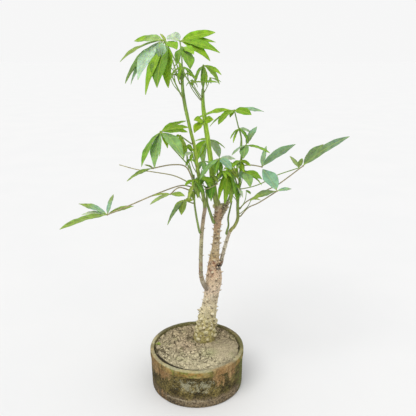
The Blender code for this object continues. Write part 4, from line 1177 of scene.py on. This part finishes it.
def make_pan(material):
    """The pan turned from its fine section, worn by noise, with the drain holes cut through its floor."""
    profile = fine_profile(pan_profile(), PAN_STEP)
    verts = []
    tints = []
    measures = []
    last = len(profile) - 1
    for i, (radius, height) in enumerate(profile):
        for k in range(PAN_SIDES if 0 < i < last else 1):
            angle = math.tau * k / PAN_SIDES
            outside = 2 < i and radius > INNER_RADIUS + 0.001
            reach = radius - (pan_worn(angle, radius, height) if outside else 0.0)
            drop = 0.0
            if outside and height > PAN_HEIGHT - 0.0005:
                drop = 0.0009 * max(0.0, rough((*polar(radius, angle), 0.3), 48, 3))
            verts.append(Vector((*polar(reach, angle), height - drop)))
            tints.append(pan_tint(angle, radius, height))
            inside = 1.0 if i > last / 2 and radius < INNER_RADIUS + 0.0012 else 0.0
            measures.append((angle * PAN_RADIUS, height, inside))
    end = len(verts) - 1
    top = end - PAN_SIDES
    faces = []
    for k in range(PAN_SIDES):
        n = (k + 1) % PAN_SIDES
        faces += [(0, 1 + n, 1 + k), (end, top + k, top + n)]
        for low in range(1, top, PAN_SIDES):
            faces.append((low + k, low + n, low + PAN_SIDES + n, low + PAN_SIDES + k))
    shape = Shape()
    shape.add(verts, faces, tints, measures)
    pan = shape.build("pan_fine", [material])
    drill(pan)
    hand_over(pan, "pot")


def drill(pan):
    """Cuts the drain holes and applies the cut."""
    holes = Shape()
    for k in range(DRAIN_HOLES):
        middle = polar(DRAIN_RING, math.tau * k / DRAIN_HOLES)
        route = [(*middle, height, DRAIN_RADIUS) for height in (-DRAIN_OVERRUN, PAN_FLOOR + DRAIN_OVERRUN)]
        verts, faces, measures = tube(route, DRAIN_SIDES)
        holes.add(verts, faces, [(0.0, 0.0, 0.0, 0.0)] * len(verts), measures)
    cutter = holes.build("drain_cutter", [])
    modifier = pan.modifiers.new("drain_holes", "BOOLEAN")
    modifier.operation = "DIFFERENCE"
    modifier.solver = "MANIFOLD"
    modifier.object = cutter
    graph = bpy.context.evaluated_depsgraph_get()
    cut_mesh = bpy.data.meshes.new_from_object(pan.evaluated_get(graph))
    pan.modifiers.clear()
    pan.data = cut_mesh
    bpy.data.objects.remove(cutter, do_unlink=True)
    pan.data.set_sharp_from_angle(angle=math.radians(SHARP_EDGE))


# Soil

def soil_base(x, y):
    waves = math.sin(61 * x + 17) * math.sin(53 * y + 5) + 0.6 * math.sin(127 * x - 88 * y)
    from_dome = math.hypot(x - DOME_AT[0], y - DOME_AT[1]) / DOME_RADIUS
    return SOIL_TOP - SOIL_SINK + SOIL_RELIEF * waves + DOME_HEIGHT * math.exp(-from_dome ** 2)


def smooth_share(x, y):
    """1 on the smooth part to the right of the trunk, falling to 0 round it."""
    off = math.hypot((x - SMOOTH_AT[0]) / SMOOTH_REACH[0], (y - SMOOTH_AT[1]) / SMOOTH_REACH[1])
    return 1 - smooth_step(0.70, 1.10, off + 0.18 * rough((x, y, 3.0), 45, 2))


def crack_share(x, y, scale, width):
    """1 in a crack between two clods, 0 on a clod."""
    bent = Vector((x + 0.0058 * rough((x, y, 1.0), 75, 3), y + 0.0058 * rough((x, y, 4.0), 75, 3), 0.0))
    nearest = noise.voronoi(bent * scale)[0]
    return 1 - smooth_step(0.0, width, nearest[1] - nearest[0])


def swirl_at(x, y):
    """Ridges of a hand's swirl in the smooth part, from -1 to 1."""
    dx = x - SWIRL_AT[0]
    dy = y - SWIRL_AT[1]
    around = math.hypot(dx, dy) * 1000 + 2 * math.atan2(dy, dx) + 3.5 * rough((x, y, 9.0), 42, 3)
    return math.sin(0.65 * around) * max(0.0, 1 - math.hypot(dx, dy) / SWIRL_REACH)


def soil_tone(x, y, smooth, dark):
    """The surface's colour, with its greener, pinker and darker places."""
    front = smooth_step(0.065, -0.060, y)
    tone = mixed(SOIL_TONES["back"], SOIL_TONES["front"], front)
    tone = mixed(tone, SOIL_TONES["left"], 0.6 * smooth_step(-0.040, -0.100, x))
    tone = mixed(tone, mixed(SOIL_TONES["smooth_back"], SOIL_TONES["smooth_front"], front), smooth)
    right_edge = smooth_step(0.078, 0.104, math.hypot(x - 0.004, y)) * smooth_step(0.03, 0.07, x)
    tone = scaled(tone, 1 + 0.20 * rough((x, y, 8.0), 62, 3) - 0.30 * right_edge)
    green = near(math.hypot(x - 0.030, y + 0.026), 0, 0.028)
    tone = mixed(tone, SOIL_TONES["green"], 0.65 * green)
    pink = near(math.hypot(x + 0.028, y - 0.005), 0, 0.045)
    tone = mixed(tone, SOIL_TONES["pink"], 0.5 * pink)
    # Painted shade in two hollows near the trunk's foot
    behind = near(math.hypot(x + 0.019, y - 0.040), 0, 0.016)
    before = near(math.hypot(x - 0.014, y - 0.019), 0, 0.010)
    return mixed(tone, SOIL_TONES["crack"], min(0.96, dark + 0.7 * max(behind, before)))


def soil_look(x, y):
    """Height and tint of the surface: clods with cracks and pits, smooth with a swirl on the right."""
    smooth = smooth_share(x, y)
    loose = 1 - 0.88 * smooth
    patch = 0.30 + 0.70 * smooth_step(-0.25, 0.20, rough((x, y, 2.0), 45, 2))
    wide = crack_share(x, y, CLOD_SCALE, 0.235) * patch
    narrow = crack_share(x, y, 1.9 * CLOD_SCALE, 0.24) * (1.3 - patch)
    pit = smooth_step(0.26, 0.52, rough((x, y, 0.7), 150, 3))
    tilt = 0.0011 * rough((x, y, 0.4), 85, 2)
    grain = 0.0006 * rough((x, y, 0.2), 420, 3)
    swirl = swirl_at(x, y)
    cut = CRACK_DEPTH * wide + FINE_CRACK_DEPTH * narrow + PIT_DEPTH * pit
    z = soil_base(x, y) + loose * (tilt + grain - cut) + smooth * SWIRL_HEIGHT * swirl
    z += BANK_HEIGHT * smooth_step(0.070, 0.098, math.hypot(x, y)) * smooth_step(-0.010, 0.060, y)
    calm = 1 - 0.45 * smooth_step(-0.040, -0.085, y) * smooth_step(-0.080, -0.045, x)
    # Painted shade in the cracks and pits, and darker bands on the swirl's ridges
    dark = loose * calm * max(0.98 * wide, 0.66 * narrow, 0.92 * pit) + 0.48 * smooth * max(0.0, swirl)
    return z, (*soil_tone(x, y, smooth, dark), smooth)


def gap_width(degrees):
    """Width of the dark gap between soil and wall: wide at the front left and the right, thin elsewhere."""
    left = near(degrees, 205, 38)
    right = near((degrees + 20) % 360, 22, 26)
    front = near(degrees, 268, 62)
    return SOIL_SHOULDER * (0.22 + 0.70 * smooth_step(0.0, 0.5, max(left, right)) + 0.22 * front)


def front_shadow(degrees):
    """Where the shrunken soil leaves a dark line along the front wall."""
    right_end = 0.35 * smooth_step(335, 315, degrees) + 0.65 * smooth_step(292, 272, degrees)
    return smooth_step(186, 202, degrees) * right_end


def wall_crack(x, y, edge):
    """1 in the broken cracks that run beside the front wall, where the earth has shrunk."""
    line = abs(edge - 0.0205 - 0.0035 * rough((x, y, 5.0), 38, 2))
    broken = smooth_step(-0.10, 0.20, rough((x, y, 6.0), 55, 2)) * smooth_step(-0.020, -0.045, y)
    return (1 - smooth_step(0.0004, 0.0014, line)) * broken


def edge_look(x, y, edge):
    """How far the surface drops near the wall, and its painted shade there: in the gap against the wall,
    along the shrunken front edge and in the cracks beside the front wall.
    """
    degrees = math.degrees(math.atan2(y, x))
    gap = gap_width(degrees % 360) * (1 + 0.5 * rough((x, y, 0.5), 70, 2))
    shrunk = 0.0094 * max(0.0, -math.sin(math.atan2(y, x))) + 0.0028 + 0.0010 * rough((x, y, 7.0), 110, 2)
    left = 0.0034 * math.exp(-((degrees + 140) / 34) ** 2)
    shrunk += left + 0.0016 * math.exp(-((degrees + 158) / 10) ** 2)
    sunk = front_shadow(degrees % 360) * smooth_step(shrunk + 0.0008, shrunk - 0.0008, edge)
    drop = 0.95 * SOIL_SHOULDER_DROP * (1 - smooth_step(0.0, gap, edge))
    drop += SHRUNK_DROP * sunk * smooth_step(0.0, 0.002, edge)
    shadow = 0.92 * (1 - smooth_step(0.3 * gap, 1.2 * gap, edge))
    return drop, max(shadow, 0.96 * sunk, 0.75 * wall_crack(x, y, edge))


def wall_distance(angle):
    """From the trunk's foot to the soil's outer edge in a direction."""
    x, y = TRUNK_FOOT
    outer = INNER_RADIUS - GAP
    dot = x * math.cos(angle) + y * math.sin(angle)
    return -dot + math.sqrt(dot * dot + outer * outer - x * x - y * y)


def make_soil(material):
    """Soil as rings round the trunk's foot out to the wall, a little sunk at both, closed below."""
    hole = LIMBS["middle"]["points"][0][3] - SOIL_HOLE_OVERLAP
    verts = []
    tints = []
    measures = []
    for ring in range(SOIL_RINGS + 1):
        share = 1 - (1 - ring / SOIL_RINGS) ** 1.25
        for k in range(SOIL_SIDES):
            angle = math.tau * k / SOIL_SIDES
            reach = hole + (wall_distance(angle) - hole) * share
            x = TRUNK_FOOT[0] + reach * math.cos(angle)
            y = TRUNK_FOOT[1] + reach * math.sin(angle)
            edge = INNER_RADIUS - math.hypot(x, y)
            z, tint = soil_look(x, y)
            # dark is the painted shade near the wall
            drop, dark = edge_look(x, y, edge)
            drop += 0.0010 * (1 - smooth_step(0.0, 0.005, reach - hole))
            verts.append(Vector((x, y, z - drop)))
            tints.append((*mixed(tint[:3], SOIL_TONES["gap"], dark), tint[3]))
            measures.append((x, y, edge))
    rim = SOIL_RINGS * SOIL_SIDES
    for start, height in ((rim, PAN_FLOOR + GAP), (0, ROOT_PLUG_BOTTOM - GAP)):
        for above in verts[start:start + SOIL_SIDES]:
            verts.append(Vector((above.x, above.y, height)))
            tints.append((*SOIL_TONES["below"], 0.0))
            measures.append((above.x, above.y, 0.0))
    outer = rim + SOIL_SIDES
    inner = outer + SOIL_SIDES
    faces = ring_faces(SOIL_RINGS + 1, SOIL_SIDES, True)
    for k in range(SOIL_SIDES):
        n = (k + 1) % SOIL_SIDES
        faces += [(rim + k, outer + k, outer + n, rim + n), (k, n, inner + n, inner + k)]
    faces.append(tuple(range(outer, inner))[::-1])
    faces.append(tuple(range(inner, inner + SOIL_SIDES)))
    shape = Shape()
    shape.add(verts, faces, tints, measures)
    add_crumbs(shape)
    hand_over(shape.build("soil_fine", [material]), "soil")


def lump(centre, radius, draw):
    """A small rough pebble of earth."""
    ball = bmesh.new()
    bmesh.ops.create_icosphere(ball, subdivisions=2, radius=1.0)
    shift = Vector([draw.uniform(0, 9) for _ in range(3)])
    stretch = Vector((draw.uniform(0.75, 1.3), draw.uniform(0.75, 1.3), 0.7 * draw.uniform(0.8, 1.2)))
    verts = []
    for vert in ball.verts:
        size = radius * (1 + 0.30 * noise.noise(vert.co * 1.9 + shift))
        verts.append(centre + Vector([c * s for c, s in zip(vert.co, stretch)]) * size)
    faces = [tuple(v.index for v in face.verts) for face in ball.faces]
    ball.free()
    return verts, faces


def add_crumbs(shape):
    """Loose crumbs pressed into the surface, few of them on the smooth part."""
    draw = random.Random(5)
    placed = 0
    while placed < CRUMBS:
        angle = draw.uniform(0, math.tau)
        reach = CRUMBS_REACH * math.sqrt(draw.uniform(0, 1))
        x, y = polar(reach, angle)
        from_foot = math.hypot(x - TRUNK_FOOT[0], y - TRUNK_FOOT[1])
        if from_foot < CRUMBS_OFF_TRUNK or draw.random() < 0.9 * smooth_share(x, y):
            continue
        if reach > CRUMBS_WITHIN and front_shadow(math.degrees(angle) % 360) > 0.5:
            continue
        radius = draw.uniform(*CRUMB_SIZES) * (0.6 if draw.random() < 0.5 else 1.0)
        z, tint = soil_look(x, y)
        verts, faces = lump(Vector((x, y, z - 0.15 * radius)), radius, draw)
        tone = scaled(tint[:3], draw.uniform(0.70, 1.15))
        shape.add(verts, faces, [(*tone, 0.3)] * len(verts), [(x, y, 0.05)] * len(verts))
        placed += 1


# Materials

class Skin:
    """Short ways to build one material's node tree. Its colour starts as the tint and grows by layers."""

    def __init__(self, name):
        self.material = bpy.data.materials.new(name)
        self.material.use_nodes = True
        self.tree = self.material.node_tree
        self.shader = self.tree.nodes["Principled BSDF"]
        tint = self.add("ShaderNodeAttribute", attribute_name="tint")
        measure = self.add("ShaderNodeAttribute", attribute_name="measure")
        split = self.add("ShaderNodeSeparateXYZ", {"Vector": measure.outputs["Vector"]})
        self.tint = self.colour = tint.outputs["Color"]
        self.weight = tint.outputs["Alpha"]
        self.along, self.across, self.third = split.outputs
        self.place = self.add("ShaderNodeTexCoord").outputs["Object"]

    def feed(self, socket, value):
        """Links a socket to another, or sets it to a number or a tone."""
        if isinstance(value, bpy.types.NodeSocket):
            self.tree.links.new(value, socket)
        elif socket.type == "RGBA":
            socket.default_value = (*value, 1.0)
        else:
            socket.default_value = value

    def add(self, kind, inputs=None, **settings):
        node = self.tree.nodes.new(kind)
        for key, value in settings.items():
            setattr(node, key, value)
        for key, value in (inputs or {}).items():
            self.feed(node.inputs[key], value)
        return node

    def math(self, operation, first, second=0.5):
        return self.add("ShaderNodeMath", {0: first, 1: second}, operation=operation).outputs[0]

    def times(self, first, second):
        return self.math("MULTIPLY", first, second)

    def plus(self, first, second):
        return self.math("ADD", first, second)

    def minus(self, first, second):
        return self.math("SUBTRACT", first, second)

    def span(self, value, low, high, to_low=0.0, to_high=1.0):
        """value eased from low..high to to_low..to_high."""
        inputs = {"Value": value, 1: low, 2: high, 3: to_low, 4: to_high}
        return self.add("ShaderNodeMapRange", inputs, interpolation_type="SMOOTHSTEP").outputs[0]

    def mix(self, factor, first, second, blend="MIX"):
        inputs = {0: factor, 6: first, 7: second}
        return self.add("ShaderNodeMix", inputs, data_type="RGBA", blend_type=blend).outputs[2]

    def shade(self, colour, factor):
        """colour times a grey factor."""
        grey = self.add("ShaderNodeCombineXYZ", {0: factor, 1: factor, 2: factor}).outputs[0]
        return self.mix(1.0, colour, grey, "MULTIPLY")

    def layer(self, factor, tone):
        """Lays a tone over the colour, as densely as factor."""
        self.colour = self.mix(factor, self.colour, tone)

    def darken(self, factor):
        self.colour = self.shade(self.colour, factor)

    def stretched(self, scale):
        """The place and the scale of a texture, where three scales stretch it along the axes."""
        if not isinstance(scale, tuple):
            return {"Vector": self.place, "Scale": scale}
        mapped = self.add("ShaderNodeMapping", {"Vector": self.place, "Scale": scale}).outputs[0]
        return {"Vector": mapped, "Scale": 1.0}

    def noise(self, scale, detail=3.0, roughness=0.55):
        inputs = {**self.stretched(scale), "Detail": detail, "Roughness": roughness}
        return self.add("ShaderNodeTexNoise", inputs).outputs["Fac"]

    def patches(self, scale, detail, low, high, to_low=0.0, to_high=1.0):
        """Noise eased from low..high to to_low..to_high."""
        return self.span(self.noise(scale, detail), low, high, to_low, to_high)

    def cells(self, scale, feature="F1"):
        return self.add("ShaderNodeTexVoronoi", self.stretched(scale), feature=feature).outputs["Distance"]

    def finish(self, roughness, height, distance, specular=0.5):
        """Links the colour, the roughness and a bump of the height to the shader."""
        bump = self.add("ShaderNodeBump", {"Height": height, "Strength": 1.0, "Distance": distance})
        self.tree.links.new(self.colour, self.shader.inputs["Base Color"])
        self.tree.links.new(roughness, self.shader.inputs["Roughness"])
        self.tree.links.new(bump.outputs[0], self.shader.inputs["Normal"])
        self.shader.inputs["Specular IOR Level"].default_value = specular
        return self.material


def leaf_material():
    """Glossy leaf: a pale midrib and side veins, a duller and paler underside, mottled green."""
    n = Skin("leaf_skin")
    off = n.math("ABSOLUTE", n.across)
    midrib = n.span(off, 0.00050, 0.00140, 1.0, 0.0)
    phase = n.minus(n.along, n.times(off, 0.62))
    bent = n.plus(n.math("DIVIDE", phase, VEIN_STEP), n.times(n.noise(70, 1.0), 0.5))
    vein = n.span(n.math("PINGPONG", bent, 0.5), 0.0, 0.085, 1.0, 0.0)
    vein = n.times(vein, n.span(n.third, 0.55, 1.0, 1.0, 0.2))
    lines = n.math("MAXIMUM", midrib, n.times(vein, 0.42))
    mottle = n.patches(95, 5.0, 0.28, 0.72, 0.74, 1.26)
    n.darken(n.times(mottle, n.patches(1500, 2.0, 0.3, 0.7, 0.93, 1.06)))
    n.layer(n.times(lines, 0.75), n.mix(0.36, n.tint, (0.62, 0.74, 0.10)))
    n.layer(n.span(n.third, 0.93, 1.0, 0.0, 0.35), (0.055, 0.120, 0.015))
    # Painted sheen: an even pale haze over the whole leaf
    n.layer(LEAF_SHEEN_HAZE, (0.620, 0.650, 0.500))
    n.layer(n.weight, n.mix(0.32, n.colour, (0.280, 0.370, 0.130)))
    gloss = n.plus(n.patches(260, 3.0, 0.3, 0.7, 0.34, 0.50), n.times(n.weight, 0.18))
    puff = n.minus(n.times(n.noise(420, 2.0), 0.5), n.times(lines, 0.6))
    n.shader.inputs["Subsurface Weight"].default_value = 0.35
    n.shader.inputs["Subsurface Radius"].default_value = (0.6, 1.0, 0.15)
    n.shader.inputs["Subsurface Scale"].default_value = 0.0015
    return n.finish(gloss, puff, 0.0006, 0.13)


def stem_material(name, brown):
    """Green stem: streaks along it, pale specks, brown scars and a soft gloss."""
    n = Skin(name)
    streak = n.noise((700.0, 700.0, 60.0), 4.0)
    n.darken(n.span(streak, 0.28, 0.72, 0.62, 1.38))
    n.darken(n.patches((160.0, 160.0, 24.0), 3.0, 0.30, 0.70, 0.78, 1.24))
    n.layer(n.patches((150.0, 150.0, 420.0), 3.0, 0.58, 0.70, 0.0, brown), (0.150, 0.095, 0.050))
    specks = n.span(n.cells(520.0), 0.10, 0.24, 0.70, 0.0)
    n.layer(specks, (0.560, 0.600, 0.300))
    gloss = n.patches(300, 2.0, 0.3, 0.7, 0.42, 0.62)
    return n.finish(gloss, n.plus(n.times(streak, 0.7), n.times(specks, 0.6)), 0.0005)


def bark_material():
    """Dry pale bark: cracks, pits and wrinkles round the stem, and thorns with a painted highlight above and
    painted shade below.
    """
    n = Skin("thorny_bark")
    broad = n.noise(55, 5.0)
    grain = n.noise((280.0, 280.0, 520.0), 5.0)
    n.darken(n.span(broad, 0.25, 0.75, 0.86, 1.16))
    n.darken(n.span(grain, 0.28, 0.72, 0.78, 1.20))
    cracks = n.span(n.cells((150.0, 150.0, 330.0), "DISTANCE_TO_EDGE"), 0.0, 0.090, 0.52, 0.0)
    n.layer(cracks, (0.170, 0.115, 0.070))
    pits = n.patches((230.0, 230.0, 330.0), 2.0, 0.60, 0.67, 0.0, 0.80)
    n.layer(pits, (0.110, 0.070, 0.042))
    n.layer(n.patches(95, 3.0, 0.54, 0.68, 0.0, 0.35), (0.700, 0.640, 0.520))
    # Painted highlight on the upper sides of the thorns and knobs and painted shade on their lower sides;
    # then their darker tips
    n.layer(n.times(n.weight, n.span(n.along, 0.2, -0.7, 0.0, 0.75)), (0.840, 0.760, 0.540))
    n.layer(n.times(n.weight, n.span(n.along, 0.0, 0.8, 0.0, 0.90)), (0.105, 0.068, 0.040))
    n.layer(n.times(n.weight, n.span(n.third, 0.55, 1.0, 0.0, 0.60)), (0.160, 0.105, 0.065))
    height = n.minus(n.plus(grain, n.times(broad, 0.8)), n.times(pits, 0.9))
    height = n.minus(height, n.times(cracks, 0.8))
    return n.finish(n.span(grain, 0.3, 0.7, 0.72, 0.92), height, 0.0011, 0.25)


def soil_material():
    """Dry crumbly clay soil with dark pits, pale crumbs and a faint green bloom."""
    n = Skin("dry_soil")
    crumb = n.noise(330, 6.0, 0.65)
    green_part = n.add("ShaderNodeSeparateColor", {"Color": n.tint}).outputs[1]
    keep = n.times(n.minus(1.0, n.times(n.weight, 0.65)), n.span(green_part, 0.05, 0.20))
    n.darken(n.span(crumb, 0.3, 0.7, 0.66, 1.34))
    n.layer(n.times(n.span(crumb, 0.34, 0.47, 0.85, 0.0), keep), (0.110, 0.085, 0.045))
    n.layer(n.times(n.patches(520, 3.0, 0.57, 0.70, 0.0, 0.55), keep), (0.640, 0.580, 0.420))
    n.layer(n.patches(40, 3.0, 0.56, 0.68, 0.0, 0.20), (0.250, 0.290, 0.100))
    dull = n.span(crumb, 0.3, 0.7, 0.98, 0.86)
    return n.finish(dull, n.plus(crumb, n.times(n.noise(900, 4.0), 0.5)), 0.0014, 0.20)


def lay_foot(n, broad, fine, right_end):
    """The paler grainy skin low on the wall."""
    foot = n.span(n.plus(n.across, n.times(broad, 0.016)), 0.040, 0.024, 0.0, 0.75)
    tone = n.shade((0.225, 0.168, 0.108), n.span(fine, 0.35, 0.65, 0.35, 1.75))
    # Painted shade: the foot darker away from the front
    light = n.times(n.span(n.along, CLAY_DARK_TO, FOOT_PALE_FROM), right_end)
    tone = n.shade(tone, n.span(light, 0.0, 1.0, 0.62, 1.0))
    n.layer(foot, n.shade(tone, n.span(n.across, 0.002, 0.016, 0.76, 1.03)))


def lay_red(n, red_at, fine, speck):
    """Bare red clay, in streaks down the wall."""
    streak = n.noise((120.0, 120.0, 17.0), 4.0)
    worn = n.plus(red_at, n.plus(fine, n.span(streak, 0.32, 0.68, -0.55, 0.30)))
    tone = n.mix(n.span(speck, 0.35, 0.65), (0.200, 0.100, 0.036), (0.460, 0.280, 0.118))
    tone = n.mix(n.span(streak, 0.45, 0.65, 0.0, 0.7), tone, (0.480, 0.330, 0.150))
    red = n.times(n.span(worn, 0.85, 1.25), 0.88)
    n.layer(red, n.shade(tone, n.span(fine, 0.33, 0.67, 0.62, 1.25)))


def lay_moss(n, moss_at, fine, speck):
    moss = n.span(n.plus(moss_at, fine), 1.00, 1.25, 0.0, 0.90)
    n.layer(moss, n.mix(n.span(speck, 0.35, 0.65), (0.052, 0.054, 0.011), (0.225, 0.230, 0.055)))
    return moss


def lay_lichen(n, lichen_at, broad, speck):
    scurf = n.plus(n.times(n.noise(470, 3.0), 0.5), n.times(speck, 0.5))
    lichen = n.span(n.plus(n.times(lichen_at, 0.30), scurf), 0.752, 0.812, 0.0, 0.72)
    n.layer(lichen, n.mix(broad, (0.350, 0.350, 0.225), (0.500, 0.450, 0.290)))


def lay_lime_line(n, broad, fine):
    """The pale line of lime above the foot."""
    height = n.plus(n.across, n.times(broad, 0.010))
    line = n.times(n.span(height, 0.0205, 0.0225), n.span(height, 0.0265, 0.0245))
    ends = n.times(n.span(n.along, *LIME_LINE_FROM), n.span(n.along, *LIME_LINE_TO))
    n.layer(n.times(n.times(line, ends), n.span(fine, 0.38, 0.60, 0.1, 0.85)), (0.420, 0.350, 0.230))


def lay_rim(n, moss_at, red_at, broad, fine):
    """The yellow-brown rim with a painted highlight on top, worn away where there is moss or bare clay."""
    tone = n.mix(n.span(broad, 0.4, 0.6), (0.360, 0.290, 0.110), (0.330, 0.205, 0.060))
    tone = n.mix(n.patches(60, 4.0, 0.50, 0.60, 0.0, 0.80), tone, (0.180, 0.205, 0.040))
    tone = n.shade(tone, n.span(fine, 0.33, 0.67, 0.62, 1.30))
    # Painted highlight on the rim's top
    top = n.span(n.across, PAN_HEIGHT - 0.004, PAN_HEIGHT, 0.0, 0.85)
    top_tone = n.mix(n.span(broad, 0.35, 0.65), (0.430, 0.410, 0.270), (0.500, 0.440, 0.240))
    tone = n.mix(top, tone, n.shade(top_tone, n.span(fine, 0.33, 0.67, 0.72, 1.2)))
    worn = n.span(n.plus(moss_at, red_at), 0.75, 1.3, 1.0, 0.20)
    n.layer(n.times(n.weight, n.math("MAXIMUM", worn, n.times(top, 0.8))), tone)


def clay_material():
    """Old clay: grainy brown skin with moss, bare red clay, pale lichen, a pale foot, and a worn rim."""
    n = Skin("weathered_clay")
    moss_at, red_at, lichen_at = n.add("ShaderNodeSeparateColor", {"Color": n.tint}).outputs
    broad = n.noise(38, 5.0)
    fine = n.noise(230, 6.0, 0.70)
    speck = n.noise(620, 4.0)
    right_end = n.span(n.along, *CLAY_DARK_AGAIN)
    n.colour = n.mix(n.span(broad, 0.35, 0.65), (0.054, 0.040, 0.012), (0.155, 0.120, 0.038))
    n.darken(n.span(fine, 0.35, 0.65, 0.30, 1.90))
    lay_foot(n, broad, fine, right_end)
    lay_red(n, red_at, fine, speck)
    moss = lay_moss(n, moss_at, fine, speck)
    lay_lichen(n, lichen_at, broad, speck)
    n.layer(n.patches(480, 3.0, 0.30, 0.42, 0.75, 0.0), (0.026, 0.022, 0.010))
    flecks = n.times(n.patches(400, 3.0, 0.60, 0.68), n.span(n.across, 0.006, 0.036, 0.85, 0.18))
    n.layer(flecks, (0.450, 0.380, 0.260))
    lay_lime_line(n, broad, fine)
    # Painted shade: the wall darker away from the front
    light = n.times(n.span(n.along, CLAY_DARK_TO, CLAY_PALE_FROM), right_end)
    n.darken(n.span(light, 0.0, 1.0, 0.76, 1.0))
    lay_rim(n, moss_at, red_at, broad, fine)
    inner_tone = n.mix(n.span(fine, 0.35, 0.65), (0.085, 0.078, 0.028), (0.330, 0.295, 0.130))
    n.layer(n.times(n.third, 0.85), inner_tone)
    height = n.plus(n.plus(fine, n.times(n.times(moss, speck), 1.2)), n.times(speck, 0.4))
    return n.finish(n.span(fine, 0.3, 0.7, 0.80, 0.97), height, 0.0018, 0.20)


def floor_material():
    n = Skin("pale_floor")
    n.colour = n.mix(n.patches(3.0, 2.0, 0.3, 0.7), (0.782, 0.780, 0.776), (0.794, 0.790, 0.784))
    return n.finish(n.patches(40, 2.0, 0.3, 0.7, 0.85, 0.95), n.noise(200, 2.0), 0.0001, 0.0)


# Stage

def make_world():
    """An even pale surround, which lights the plant less than it shows."""
    world = bpy.data.worlds.new("studio")
    world.use_nodes = True
    tree = world.node_tree
    shown = tree.nodes["Background"]
    lighting = tree.nodes.new("ShaderNodeBackground")
    for node, tone, strength in ((shown, SURROUND, 1.0), (lighting, DAYLIGHT, AMBIENT)):
        node.inputs["Color"].default_value = tone
        node.inputs["Strength"].default_value = strength
    path = tree.nodes.new("ShaderNodeLightPath")
    mix = tree.nodes.new("ShaderNodeMixShader")
    tree.links.new(path.outputs["Is Camera Ray"], mix.inputs[0])
    tree.links.new(lighting.outputs[0], mix.inputs[1])
    tree.links.new(shown.outputs[0], mix.inputs[2])
    tree.links.new(mix.outputs[0], tree.nodes["World Output"].inputs["Surface"])
    bpy.context.scene.world = world


def make_floor():
    mesh = bpy.data.meshes.new("floor")
    corners = [(x * FLOOR_REACH, y * FLOOR_REACH, 0) for x, y in ((-1, -1), (1, -1), (1, 1), (-1, 1))]
    mesh.from_pydata(corners, [], [(0, 1, 2, 3)])
    mesh.materials.append(floor_material())
    floor = new_object("floor", mesh)


def make_lights():
    for name, way, spread, power in SUNS:
        light = bpy.data.lights.new(name, "SUN")
        light.angle = math.radians(spread)
        light.energy = power
        lamp = new_object(name, light)
        lamp.rotation_euler = Vector(way).to_track_quat("-Z", "Y").to_euler()


def make_camera():
    """The photograph's camera."""
    lens = bpy.data.cameras.new("camera")
    lens.sensor_width = SENSOR
    lens.lens = FOCAL_PIXELS / IMAGE_PIXELS * SENSOR
    camera = new_object("camera", lens)
    camera.location = CAMERA_AT
    camera.rotation_euler = (math.radians(90.0 - CAMERA_PITCH), 0.0, 0.0)
    bpy.context.scene.camera = camera
    bpy.context.scene.view_settings.view_transform = "Standard"


def make_stems(stems, green, twig):
    """The thin side stems. Each joins stems for the ones that grow from it."""
    for name, spec in THIN_STEMS.items():
        route, way = thin_stem_route(stems, spec)
        stems[name] = route
        dry = name == "twig_bare"
        make_stem(name, route, way, TWIG_BROWN if dry else THIN_GREEN, THIN_SIDES, twig if dry else green)


def main():
    make_floor()
    make_world()
    make_lights()
    make_camera()
    leaf = leaf_material()
    stalk = stem_material("leaf_stalk", 0.35)
    green = stem_material("green_stem", 0.55)
    twig = stem_material("dry_twig", 0.8)
    make_pan(clay_material())
    make_soil(soil_material())
    limbs = {name: smooth_route(limb["points"], BARK_STEP) for name, limb in LIMBS.items()}
    stems = dict(limbs, stub=smooth_route(STUB, FINE_STEP))
    make_stems(stems, green, twig)
    seats = [seat_on(stems[row[0]], row[1], row[2][0])[0] for row in THIN_STEMS.values()]
    seats += [seat_on(stems[row[0]], row[1], row[3][0])[0] for row in LEAVES.values()]
    make_trunk(limbs, stems["stub"], seats, bark_material())
    for limb, route in limbs.items():
        make_shoot(limb, route, green)
    for index, (name, spec) in enumerate(LEAVES.items()):
        make_leaf(name, stems, spec, [leaf, stalk], index)
    make_sprouts(stems, [leaf, stalk])
    make_weed([leaf, stalk])


main()
